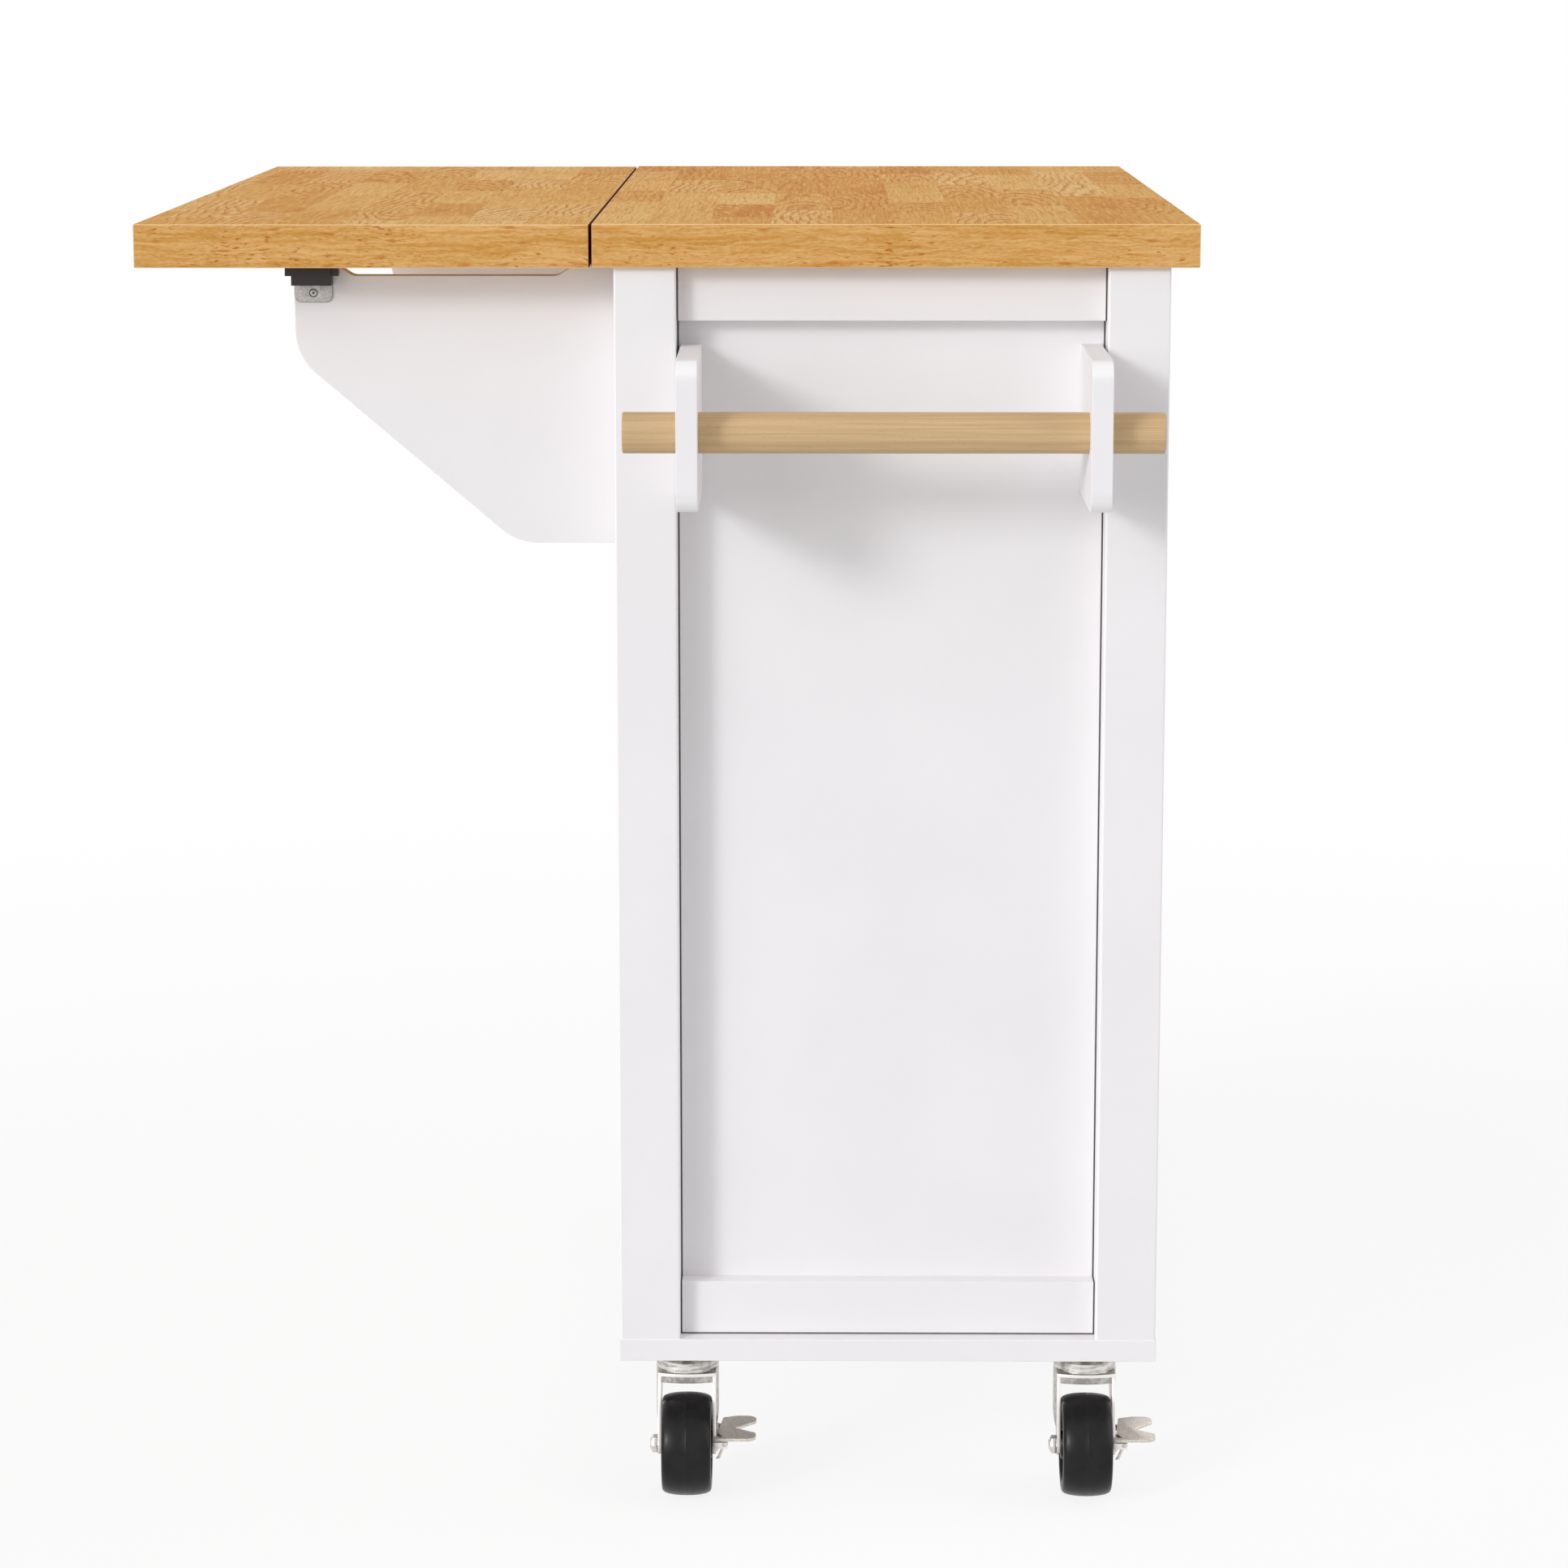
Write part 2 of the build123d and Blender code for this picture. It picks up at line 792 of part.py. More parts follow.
with BuildPart(*(Plane(origin=(x, y, 0)) for x, y, _ in caster_spots.values())) as caster_plates:
    with Locations((0, 0, board_bottom - mount_plate[2] / 2)):
        Box(*mount_plate)
    fillet(caster_plates.edges().filter_by(Axis.Z), mount_corner)
    with Locations((0, 0, board_bottom - mount_plate[2])):
        Cone(*bearing_cone, align=(Align.CENTER, Align.CENTER, Align.MAX))
    with Locations((0, 0, crown_top - fork_plate - king_pin_head[1] - 0.4)):
        Cylinder(*king_pin_head, align=(Align.CENTER, Align.CENTER, Align.MIN))
        Cylinder(king_pin, 10, align=(Align.CENTER, Align.CENTER, Align.MIN))
    with Locations((0, 0, board_bottom)):
        with GridLocations(mount_holes, mount_holes, 2, 2):
            Cylinder(mount_hole_radius, 2 * mount_plate[2], mode=Mode.SUBTRACT)
save(caster_plates, "caster_plates")

# The brake is measured in X from the fork's outer face and in Y from the axle
brake_pin_x = 6.0
brake_pin_z = 40.6
brake_pin_radius = 1.5
brake_hub = 2.9
brake_hub_y = (-10.2, 28.2)
ear_thickness = 1.5
ear_reach = 8.3
ear_wrap = 1.6  # the front ear's tab reaches this far over the leg's front edge
ear_top = 42.2  # below the tread also when the pedal is down
ear_drop = 3.0  # below the pin
ear_y = (brake_hub_y[0] - 0.3 - ear_thickness, brake_hub_y[1] + 0.3)
ear_tab_y = -5.5
ear_web_y = (bolt_head[0] + 0.5, brake_hub_y[1] + 2.8)
tread_z = 44.0
tread_thickness = 2.2
tread_y = (-14.5, 35.5)
tread_x = (1.0, 29.0)
tread_heel = ((15.0, 35.5), (4.5, 31.5))  # the inner far corner, cut back
tread_corner = 7.0
relief = ((1.0, -1.5), (5.0, -10.5))  # an opening beside the leg
notch_mouth = (-1.5, 24.5)
notch_tip = (13.5, 9.0)
notch_corner = 3.0
stem_width = 4.0
cam_y = ((-10.2, -8.4), (11.6, 26.0))
cam_outline = (
    (-2.2, 0.0),
    (1.0, -1.0),
    (-0.4, -4.0),
    (-3.3, -11.2),
    (-5.9, -11.2),
    (-4.6, -9.6),
    (-2.6, -4.5),
)


def crown_front(inset):
    """The plan of the crown in front of the swivel's axis, with a bulging front edge."""
    front = leg_front + inset
    with BuildSketch() as plan:
        with BuildLine():
            ThreePointArc((-fork_outer, front), (0, front - lip_bulge), (fork_outer, front))
            Polyline((fork_outer, front), (fork_outer, 0), (-fork_outer, 0), (-fork_outer, front))
        make_face()
    return plan.sketch


def fork(name, x, y, braked):
    """The swivelling fork: a pressed crown over two legs, with a lip and a skirt across its front,
    and the brake's bracket round one leg."""
    leg_plane = Plane(origin=(x, y, 0), x_dir=(0, 1, 0), z_dir=(1, 0, 0))
    crown_plane = Plane(origin=(x, y, 0), x_dir=(1, 0, 0), z_dir=(0, -1, 0))
    axle_y = y - caster_trail
    inside = crown_radius - fork_plate
    with BuildPart() as part:
        with BuildSketch(Plane(origin=(x, y, wheel_radius))):
            Circle(crown_radius)
            Circle(inside, mode=Mode.SUBTRACT)
        extrude(amount=leg_top - wheel_radius)
        with BuildSketch(leg_plane) as leg:
            with Locations((-caster_trail, wheel_radius)):
                Circle(boss_radius)
            with Locations(((leg_front + leg_back) / 2, leg_top - leg_round - 0.1)):
                RectangleRounded(leg_back - leg_front, 2 * leg_round + 0.2, leg_round)
            make_hull()
        extrude(amount=2 * crown_radius, both=True, mode=Mode.INTERSECT)
        with BuildSketch(leg_plane):
            add(leg.sketch_local)
        extrude(amount=fork_outer, both=True)
        with Locations((x, y, leg_top / 2)):
            Box(fork_gap, 3 * crown_radius, leg_top, mode=Mode.SUBTRACT)
        with BuildSketch(crown_plane):
            with BuildLine():
                Polyline(
                    (inside, lip_top - fork_plate),
                    (crown_radius, lip_top - fork_plate),
                    (crown_radius, crown_shoulder),
                    (crown_flat, crown_top),
                    (king_pin + running_fit, crown_top),
                    (king_pin + running_fit, crown_top - fork_plate),
                    (crown_flat - 0.9, crown_top - fork_plate),
                    (inside, crown_shoulder - 1.0),
                    close=True,
                )
            make_face()
        revolve(axis=Axis((x, y, 0), (0, 0, 1)))
        with BuildSketch(Plane(origin=(x, y, lip_top - fork_plate))):
            add(crown_front(0.0))
            Circle(inside, mode=Mode.SUBTRACT)
        extrude(amount=fork_plate)
        with BuildSketch(Plane(origin=(x, y, skirt_bottom))):
            add(crown_front(skirt_inset))
            add(crown_front(skirt_inset + skirt_wall), mode=Mode.SUBTRACT)
        extrude(amount=lip_top - skirt_bottom)
        if braked:
            block(
                (x + fork_outer, axle_y + ear_web_y[0], brake_pin_z - brake_hub),
                (x + fork_outer + ear_thickness, axle_y + ear_web_y[1], ear_top),
            )
            block(
                (x + fork_outer - ear_wrap, axle_y + ear_y[0], brake_pin_z - ear_drop),
                (x + fork_outer, axle_y + ear_tab_y, ear_top),
            )
            for ear in ear_y:
                block(
                    (x + fork_outer, axle_y + ear, brake_pin_z - ear_drop),
                    (x + fork_outer + ear_reach, axle_y + ear + ear_thickness, ear_top),
                )
            brake_pin = (x + fork_outer + brake_pin_x, axle_y, brake_pin_z)
            with BuildSketch(Plane(origin=brake_pin, z_dir=(0, 1, 0))):
                Circle(brake_pin_radius + running_fit)
            extrude(amount=tread_y[1], both=True, mode=Mode.SUBTRACT)
        axle_start = (x - 2 * crown_radius, axle_y, wheel_radius)
        with BuildSketch(Plane(origin=axle_start, z_dir=(1, 0, 0))):
            Circle(axle_radius + running_fit)
        extrude(amount=4 * crown_radius, mode=Mode.SUBTRACT)
    save(part, name)


# The wheel's section: half-breadths and radii of its hub, web and rim
hub_half = fork_gap / 2 - 0.3
hub_radius = 10.5
web_half = 5.0
web_radii = (11.5, 25.0)
rim_radii = (26.5, 28.0)
tread_edge = 35.3
rim_chamfer = 1.2
tread_round = 3.0


def wheel(name, x, y):
    """The wheel: one moulding with a crowned tread, a thin web and a long hub."""
    middle = (x, y - caster_trail, wheel_radius)
    half = wheel_width / 2
    with BuildPart() as part:
        with BuildSketch(Plane(origin=middle, x_dir=(1, 0, 0), z_dir=(0, -1, 0))):
            with BuildLine():
                right = Polyline(
                    (0, axle_radius + running_fit),
                    (hub_half, axle_radius + running_fit),
                    (hub_half, hub_radius),
                    (web_half, web_radii[0]),
                    (web_half, web_radii[1]),
                    (half - rim_chamfer, rim_radii[0]),
                    (half, rim_radii[1]),
                    (half, tread_edge),
                )
                mirror(right, about=Plane.YZ)
                ThreePointArc((half, tread_edge), (0, wheel_radius), (-half, tread_edge))
            make_face()
            fillet(vertices().sort_by(Axis.Y)[-2:], tread_round)
        revolve(axis=Axis(middle, (1, 0, 0)))
    save(part, name)


def axle(name, x, y):
    """The axle bolt, with its flat head on the front side and its nut on the back side."""
    axle_y = y - caster_trail
    bolt_start = (x - fork_outer - nut_height - bolt_end, axle_y, wheel_radius)
    head_start = (x + fork_outer, axle_y, wheel_radius)
    nut_start = (x - fork_outer, axle_y, wheel_radius)
    with BuildPart() as part:
        with BuildSketch(Plane(origin=bolt_start, z_dir=(1, 0, 0))):
            Circle(axle_radius)
        extrude(amount=2 * fork_outer + nut_height + bolt_end)
        with BuildSketch(Plane(origin=head_start, z_dir=(1, 0, 0))):
            Circle(bolt_head[0])
        extrude(amount=bolt_head[1])
        with BuildSketch(Plane(origin=nut_start, z_dir=(-1, 0, 0))):
            RegularPolygon(nut_size, 6, major_radius=True)
            Circle(axle_radius + nut_play, mode=Mode.SUBTRACT)
        extrude(amount=nut_height)
    save(part, name)


def pedal(name, x, y):
    """The brake pedal: a notched tread on a hub between the bracket's ears, with two cams under it."""
    fork_face = x + fork_outer
    axle_y = y - caster_trail
    hub_length = brake_hub_y[1] - brake_hub_y[0]
    hub_plane = Plane(
        origin=(fork_face + brake_pin_x, axle_y, brake_pin_z),
        x_dir=(1, 0, 0),
        z_dir=(0, -1, 0),
    )
    with BuildPart() as part:
        with BuildSketch(Plane(origin=(fork_face, axle_y, tread_z))):
            with BuildLine():
                Polyline(
                    (-ear_wrap, tread_y[0]),
                    (tread_x[1], tread_y[0]),
                    (tread_x[1], notch_mouth[0]),
                    notch_tip,
                    (tread_x[1], notch_mouth[1]),
                    (tread_x[1], tread_y[1]),
                    *tread_heel,
                    *relief,
                    (-ear_wrap, relief[1][1]),
                    close=True,
                )
            make_face()
            outer_corners = vertices().group_by(Axis.X)[-1].sort_by(Axis.Y)
            fillet((outer_corners[0], outer_corners[3]), tread_corner)
            fillet(vertices().filter_by(lambda v: v.Y in notch_mouth), notch_corner)
        extrude(amount=tread_thickness)
        with BuildSketch(hub_plane.offset(-brake_hub_y[0])):
            Circle(brake_hub)
            Rectangle(
                stem_width, tread_z - brake_pin_z + 0.4, align=(Align.CENTER, Align.MIN)
            )
        extrude(amount=-hub_length)
        with BuildSketch(hub_plane.offset(-ear_y[0])):
            Circle(brake_pin_radius)
        extrude(amount=ear_y[0] - ear_y[1] - ear_thickness)
        for near, far in cam_y:
            with BuildSketch(hub_plane.offset(-near)):
                with BuildLine():
                    Polyline(*cam_outline, close=True)
                make_face()
            extrude(amount=near - far)
    save(part, name)


for spot, (x, y, braked) in caster_spots.items():
    fork(f"{spot}_caster_fork", x, y, braked)
    wheel(f"{spot}_caster_wheel", x, y)
    axle(f"{spot}_caster_axle", x, y)
    if braked:
        pedal(f"{spot}_brake_pedal", x, y)

# ---- Wood screws: caster plates, towel arms and the fixed top ----
pan_radius = 4.0
pan_height = 2.0
shank_radius = 1.9
arm_screw_drops = (8.0, 83.0)  # below the arm's top edge
top_screw_inset = 50.0
plate_under = board_bottom - mount_plate[2]
caster_screws = [
    Plane(origin=(x + i * mount_holes / 2, y + j * mount_holes / 2, plate_under))
    for x, y, _ in caster_spots.values()
    for i in (-1, 1)
    for j in (-1, 1)
]
arm_screws = [
    Plane(origin=(x + arm_thickness / 2, along(-1, inner_half), z), z_dir=(0, -1, 0))
    for x in arm_faces.values()
    for z in (arm_top - drop for drop in arm_screw_drops)
]
top_screws = [
    Plane(
        origin=(
            x,
            along(side, panel_face + rail_thickness / 2),
            underside - top_rail_height + pan_height + 0.5,
        )
    )
    for _, side in SIDES
    for x in (panel_left + top_screw_inset, panel_right - top_screw_inset)
]
with BuildPart() as wood_screws:
    for places, length in ((caster_screws, 14.0), (arm_screws, 45.0), (top_screws, 55.0)):
        for place in places:
            with BuildSketch(place):
                Circle(pan_radius)
            extrude(amount=-pan_height)
            with BuildSketch(place):
                Circle(shank_radius)
            extrude(amount=length)
save(wood_screws, "wood_screws")
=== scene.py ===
"""A kitchen island cart: a white cupboard on casters, with a glued wooden top and a drop leaf.

Each section dresses one piece or one group of like pieces, from the top down. Metres throughout.
"""

import json
import math

import bpy
from mathutils import Matrix, Vector


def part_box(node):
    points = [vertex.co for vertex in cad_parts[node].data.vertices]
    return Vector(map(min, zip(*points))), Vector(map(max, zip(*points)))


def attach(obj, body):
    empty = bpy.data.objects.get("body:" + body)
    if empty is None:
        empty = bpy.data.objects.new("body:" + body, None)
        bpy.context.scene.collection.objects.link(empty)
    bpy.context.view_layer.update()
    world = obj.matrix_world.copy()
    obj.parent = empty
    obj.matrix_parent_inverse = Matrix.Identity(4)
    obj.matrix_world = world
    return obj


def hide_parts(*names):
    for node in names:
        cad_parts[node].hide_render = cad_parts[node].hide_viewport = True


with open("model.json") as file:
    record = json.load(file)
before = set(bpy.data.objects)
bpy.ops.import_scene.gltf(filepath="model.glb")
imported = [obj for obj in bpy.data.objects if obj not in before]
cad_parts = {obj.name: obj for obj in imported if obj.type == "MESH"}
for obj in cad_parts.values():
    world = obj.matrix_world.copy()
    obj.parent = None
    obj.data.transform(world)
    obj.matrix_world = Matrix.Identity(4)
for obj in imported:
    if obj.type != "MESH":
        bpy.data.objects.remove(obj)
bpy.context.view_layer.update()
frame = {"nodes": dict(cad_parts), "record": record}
bpy.ops.object.select_all(action="DESELECT")


# ---- Worktop and drop leaf ----
# Two slabs glued up from short rubberwood blocks, in staves that run along the cart. The ends and
# the long sides are lipped with one plank each, and the whole is oiled to a satin honey colour.
STAVE_WIDTH = 0.0425
STAVE_START = 0.31  # where the staves start, as a share of one stave
SHORTEST_BLOCK, LONGEST_BLOCK = 0.135, 0.225
RINGS_PER_METRE = 165
TURNED = (0.69, 0.71)  # a face counts as turned to an axis as its normal's part passes these
JOINT_X = (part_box("drop_leaf")[1][0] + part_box("main_top")[0][0]) / 2
JOINT_HALF = (0.0011, 0.0014)  # the painted shade's reach from there, and where it ends


class Socket:
    """An output of a shader node. Arithmetic on sockets adds Math nodes."""

    def __init__(self, finish, output):
        self.finish = finish
        self.output = output

    def maths(self, operation, *others):
        return self.finish.node("ShaderNodeMath", {"operation": operation}, (self, *others))

    def __add__(self, other):
        return self.maths("ADD", other)

    def __sub__(self, other):
        return self.maths("SUBTRACT", other)

    def __mul__(self, other):
        return self.maths("MULTIPLY", other)

    def __truediv__(self, other):
        return self.maths("DIVIDE", other)

    def __rsub__(self, other):
        return self.finish.node("ShaderNodeMath", {"operation": "SUBTRACT"}, (other, self))

    def __abs__(self):
        return self.maths("ABSOLUTE")

    def __floor__(self):
        return self.maths("FLOOR")

    __radd__ = __add__
    __rmul__ = __mul__


class Finish:
    """A finish under construction: its node tree, and the few kinds of node asked for by name."""

    def __init__(self, name, kind=bpy.data.materials):
        self.made = kind.new(name)
        self.made.use_nodes = True
        self.tree = self.made.node_tree
        self.tree.nodes.clear()

    def node(self, kind, settings=None, inputs=(), output=0):
        """Adds a node, makes its settings, then fills its sockets by place or by name."""
        made = self.tree.nodes.new(kind)
        for key, value in (settings or {}).items():
            if key == "stops":
                stops = made.color_ramp.elements
                while len(stops) < len(value):
                    stops.new(0.5)
                for stop, (place, colour) in zip(stops, value):
                    stop.position = place
                    stop.color = colour
            else:
                setattr(made, key, value)
        filled = inputs.items() if isinstance(inputs, dict) else enumerate(inputs)
        for place, value in filled:
            if isinstance(value, Socket):
                self.tree.links.new(value.output, made.inputs[place])
            else:
                made.inputs[place].default_value = value
        return None if output is None else Socket(self, made.outputs[output])

    def object_space(self, output="Object"):
        return self.node("ShaderNodeTexCoord", output=output)

    def parts(self, vector):
        """A vector's three numbers."""
        return [self.node("ShaderNodeSeparateXYZ", None, (vector,), i) for i in range(3)]

    def point(self, x, y, z):
        return self.node("ShaderNodeCombineXYZ", None, (x, y, z))

    def facing(self):
        """How squarely the surface faces along each of the three axes, from 0 to 1."""
        return [abs(part) for part in self.parts(self.object_space("Normal"))]

    def arris(self, soft, crisp):
        """1 on the rounded edges and 0 on the flat faces. It fades as the largest part of the
        normal goes from soft to crisp."""
        first, second, third = self.facing()
        largest = first.maths("MAXIMUM", second.maths("MAXIMUM", third))
        return self.span(largest, soft, crisp, 1.0, 0.0)

    def noise(self, vector, scale=1.0, detail=2.0, roughness=0.5):
        inputs = {"Vector": vector, "Scale": scale, "Detail": detail, "Roughness": roughness}
        return self.node("ShaderNodeTexNoise", None, inputs)

    def span(self, value, low, high, to_low=0.0, to_high=1.0):
        """Maps low..high to to_low..to_high, held at the ends."""
        settings = {"interpolation_type": "SMOOTHSTEP"}
        return self.node("ShaderNodeMapRange", settings, (value, low, high, to_low, to_high))

    def mix(self, amount, first, second):
        """A number that goes from first to second by amount."""
        inputs = {0: amount, 2: first, 3: second}
        return self.node("ShaderNodeMix", {"data_type": "FLOAT"}, inputs)

    def tint(self, amount, first, second):
        """A colour that goes from first to second by amount."""
        inputs = {0: amount, 6: first, 7: second}
        return self.node("ShaderNodeMix", {"data_type": "RGBA"}, inputs, 2)

    def surface(self, colour, roughness, height, relief, strength, **fixed):
        """The material's shader, with the height turned into small relief, in metres."""
        bump = {"Strength": strength, "Distance": relief, "Height": height}
        normal = self.node("ShaderNodeBump", None, bump)
        inputs = {"Base Color": colour, "Roughness": roughness, "Normal": normal}
        for name, value in fixed.items():
            inputs[name.replace("_", " ")] = value
        shader = self.node("ShaderNodeBsdfPrincipled", None, inputs)
        self.node("ShaderNodeOutputMaterial", None, (shader,), None)
        return self.made


def away(first, second):
    """How far off a point lies, by its offsets along two axes."""
    return (first * first + second * second).maths("SQRT")


def dress(material, *nodes):
    """Gives CAD nodes their finish."""
    for name in nodes:
        slots = frame["nodes"][name].data.materials
        slots.clear()
        slots.append(material)


def rgb(red, green, blue):
    """A display colour, 0 to 255, as the linear colour that a shader takes."""
    def linear(value):
        share = value / 255
        return share / 12.92 if share <= 0.04045 else ((share + 0.055) / 1.055) ** 2.4

    return (linear(red), linear(green), linear(blue), 1.0)


def lipping(finish, along, across):
    """Plank grain on an edge: honey wood with curly streaks, orange bands, brown flecks and a few
    small knots. Gives the colour and the height of the grain."""
    honey, pale, orange = rgb(199, 142, 62), rgb(228, 182, 120), rgb(211, 141, 62)
    brown, knot_brown = rgb(176, 90, 12), rgb(186, 106, 44)

    # The grain's lines drift in long waves and short curls
    wave = finish.noise(finish.point(along * 7, across * 12, 0.0), detail=3)
    curl = finish.noise(finish.point(along * 42, across * 70, 3.0), detail=2)
    drift = across + (wave - 0.5) * 0.016 + (curl - 0.5) * 0.005
    streak = finish.noise(finish.point(along * 30, drift * 430, 2.0), detail=4, roughness=0.7)
    band = finish.noise(finish.point(along * 5, drift * 90, 5.0), detail=2)
    pores = finish.noise(finish.point(along * 230, drift * 800, 7.0), detail=2, roughness=0.6)
    tone = finish.span(streak * 0.45 + band * 0.3 + pores * 0.25, 0.38, 0.62)
    colour = finish.tint(tone, honey, pale)
    warm = finish.noise(finish.point(along * 12, drift * 240, 11.0), detail=3)
    colour = finish.tint(finish.span(warm, 0.52, 0.68) * 0.5, colour, orange)

    # The flecks gather in patches
    patch = finish.noise(finish.point(along * 9, across * 20, 8.0), detail=1)
    fleck = finish.noise(finish.point(along * 140, drift * 640, 4.0), detail=2)
    fleck = finish.span(fleck + (patch - 0.5) * 0.5, 0.6, 0.7)
    colour = finish.tint(fleck * 0.8, colour, brown)
    cells = {"Vector": finish.point(along * 6.5, drift * 30, 1.7), "Randomness": 1.0}
    near = finish.node("ShaderNodeTexVoronoi", {"feature": "F1"}, cells)
    knot = finish.span(near, 0.05, 0.24, 1.0, 0.0)
    return finish.tint(knot * 0.65, colour, knot_brown), streak - fleck * 0.6


def staves(finish, x, y):
    """The glued field: staves along Y, each of short blocks with their own tone and grain.
    Gives the colour and the height of the grain."""
    ring_brown, pore_brown = rgb(192, 104, 18), rgb(178, 94, 20)
    dark_fibre, light_fibre = rgb(196, 120, 32), rgb(244, 204, 132)
    shades = [
        (0.0, rgb(235, 192, 120)),
        (0.3, rgb(227, 175, 94)),
        (0.65, rgb(220, 161, 73)),
        (0.88, rgb(213, 149, 56)),
        (1.0, rgb(201, 128, 36)),
    ]

    # Each stave draws the length and the start of its blocks, and each block its own looks
    column = x / STAVE_WIDTH + STAVE_START
    row = math.floor(column)
    across = (column - row - 0.5) * STAVE_WIDTH
    by_number = {"noise_dimensions": "1D"}
    luck = finish.parts(finish.node("ShaderNodeTexWhiteNoise", by_number, {"W": row}, "Color"))
    length = luck[0] * (LONGEST_BLOCK - SHORTEST_BLOCK) + SHORTEST_BLOCK
    place = y / length + luck[1] * 19
    block = math.floor(place)
    down = (place - block - 0.5) * length
    spot = {"Vector": finish.point(row, block, 0.0)}
    draw = finish.node("ShaderNodeTexWhiteNoise", None, spot, "Color")
    tone, tilt, heart = finish.parts(draw)

    # Growth rings, cut by the block's face at its own depth and slant
    depth = (heart - 0.3) * 0.06 + down * (tilt - 0.5) * 0.55
    offset = across + (tone - 0.5) * 0.07
    wander = finish.noise(finish.point(across * 20 + row * 3, y * 11, block), detail=2)
    phase = away(offset, depth) * RINGS_PER_METRE + wander * 3.2 + heart * 7
    ring = finish.span(phase.maths("FRACT"), 0.48, 0.97)
    broken = finish.noise(finish.point(x * 60, y * 30, block), detail=2)
    shown = finish.span(tilt, 0.3, 0.75) * finish.span(broken, 0.28, 0.52)

    # Fibres and pores along the block, and a cloudy tone over it
    fibre = finish.noise(finish.point(x * 520, y * 20, tone * 9), detail=4, roughness=0.65)
    pores = finish.noise(finish.point(x * 560, y * 34, tone * 5), detail=1)
    pores = finish.span(pores, 0.6, 0.72)
    cloud = finish.noise(finish.point(x * 30, y * 7, tone * 31), detail=3)
    mixed = tone * 0.85 + (cloud - 0.5) * 0.7 + 0.06
    colour = finish.node("ShaderNodeValToRGB", {"stops": shades}, (mixed,))
    colour = finish.tint(ring * shown * 0.85, colour, ring_brown)
    colour = finish.tint(finish.span(fibre, 0.54, 0.3) * 0.55, colour, dark_fibre)
    colour = finish.tint(finish.span(fibre, 0.52, 0.7) * 0.45, colour, light_fibre)
    colour = finish.tint(pores * 0.4, colour, pore_brown)
    return colour, fibre - pores * 0.5


def worktop_finish():
    """Oiled rubberwood, with the glued field on the flat faces and lippings on the edges."""
    finish = Finish("oiled_rubberwood")
    arris_highlight, gap_shade = rgb(247, 216, 166), rgb(104, 18, 2)
    x, y, z = finish.parts(finish.object_space())
    _, to_end, to_top = finish.facing()
    at_end, flat = finish.span(to_end, *TURNED), finish.span(to_top, *TURNED)
    field, field_height = staves(finish, x, y)
    edge, edge_height = lipping(finish, finish.mix(at_end, y, x), z)
    colour = finish.tint(flat, edge, field)
    height = finish.mix(flat, edge_height, field_height)

    # The arris is tinted a pale honey: a painted highlight along the rounded edge
    colour = finish.tint(finish.arris(0.84, 0.985) * 0.8, colour, arris_highlight)

    # The two edges that meet in the joint are painted dark red: painted shade in the gap between
    # leaf and top
    gap_shaded = finish.span(abs(x - JOINT_X), *JOINT_HALF, 1.0, 0.0)
    colour = finish.tint(gap_shaded * 0.95, colour, gap_shade)
    rough = height * -0.14 + 0.66
    return finish.surface(
        colour, rough, height, relief=0.00012, strength=0.5, Specular_IOR_Level=0.08
    )


dress(worktop_finish(), "main_top", "drop_leaf")


# ---- Painted carcass ----
# Posts, rails, panels, base board, shelf, brackets, towel arms, doors and drawer front are boards
# sprayed white before they are put together: a satin coat with a faint orange peel, glossier on
# every arris, with a painted highlight along each arris. Thin dark lines of painted shade run
# where the ends butt against the posts.
SHADE_LINE_HALF = (0.0005, 0.0011)  # half a painted shade line's width, and where the paint is full


def in_slot(slot):
    """The CAD nodes that take their finish from one of the record's slots."""
    subparts = frame["record"]["subparts"]
    return [part["node"] for part in subparts if part["material_slot"] == slot]


def paint_finish(name, shade_lines=()):
    """White paint, with thin dark lines of painted shade at the given (axis, place) pairs."""
    finish = Finish(name)
    place = finish.object_space()
    peel = finish.noise(place, scale=420, detail=2)
    cloud = finish.noise(place, scale=9, detail=3)
    speck = finish.noise(place, scale=1500, detail=1)
    colour = finish.tint(finish.span(cloud, 0.35, 0.65), rgb(240, 238, 240), rgb(242, 240, 242))
    colour = finish.tint(finish.span(speck, 0.68, 0.8) * 0.3, colour, rgb(228, 226, 228))
    # Painted highlight: the rounded edges are tinted near white, and they are also less rough
    arris = finish.arris(0.9, 0.99)
    colour = finish.tint(arris * 0.7, colour, rgb(252, 251, 252))
    for axis, level in shade_lines:
        from_line = abs(finish.parts(place)[axis] - level)
        # Painted shade: a thin dark line where an end butts against a post
        line = finish.span(from_line, *SHADE_LINE_HALF, 1.0, 0.0)
        colour = finish.tint(line * 0.95, colour, rgb(46, 42, 42))
    rough = 0.4 + peel * 0.08 + cloud * 0.02 - arris * 0.1
    return finish.surface(
        colour, rough, peel, relief=0.00005, strength=0.3, Specular_IOR_Level=0.4
    )


dress(paint_finish("white_paint"), *in_slot("white_paint"))
end_low, end_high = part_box("left_end_rails")
butts = [(0, end_low[0]), (0, end_high[0]), (2, end_low[2])]
butted_nodes = [f"{side}_end_{part}" for side in ("left", "right") for part in ("rails", "panel")]
dress(paint_finish("white_paint_with_joint_shade", butts), *butted_nodes)


# ---- Towel bar ----
# A beech dowel, straight grained along its length, with the rings showing on its sawn ends. It is
# a close fit in the holes that are bored through the two arms.
DOWEL_RINGS_PER_METRE = 640
HEART_ASIDE, HEART_BELOW = 0.006, 0.009  # the rings' heart, from the middle of the dowel
bar_low, bar_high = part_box("towel_bar")
HEART_Y = (bar_low[1] + bar_high[1]) / 2 + HEART_ASIDE
HEART_Z = (bar_low[2] + bar_high[2]) / 2 - HEART_BELOW


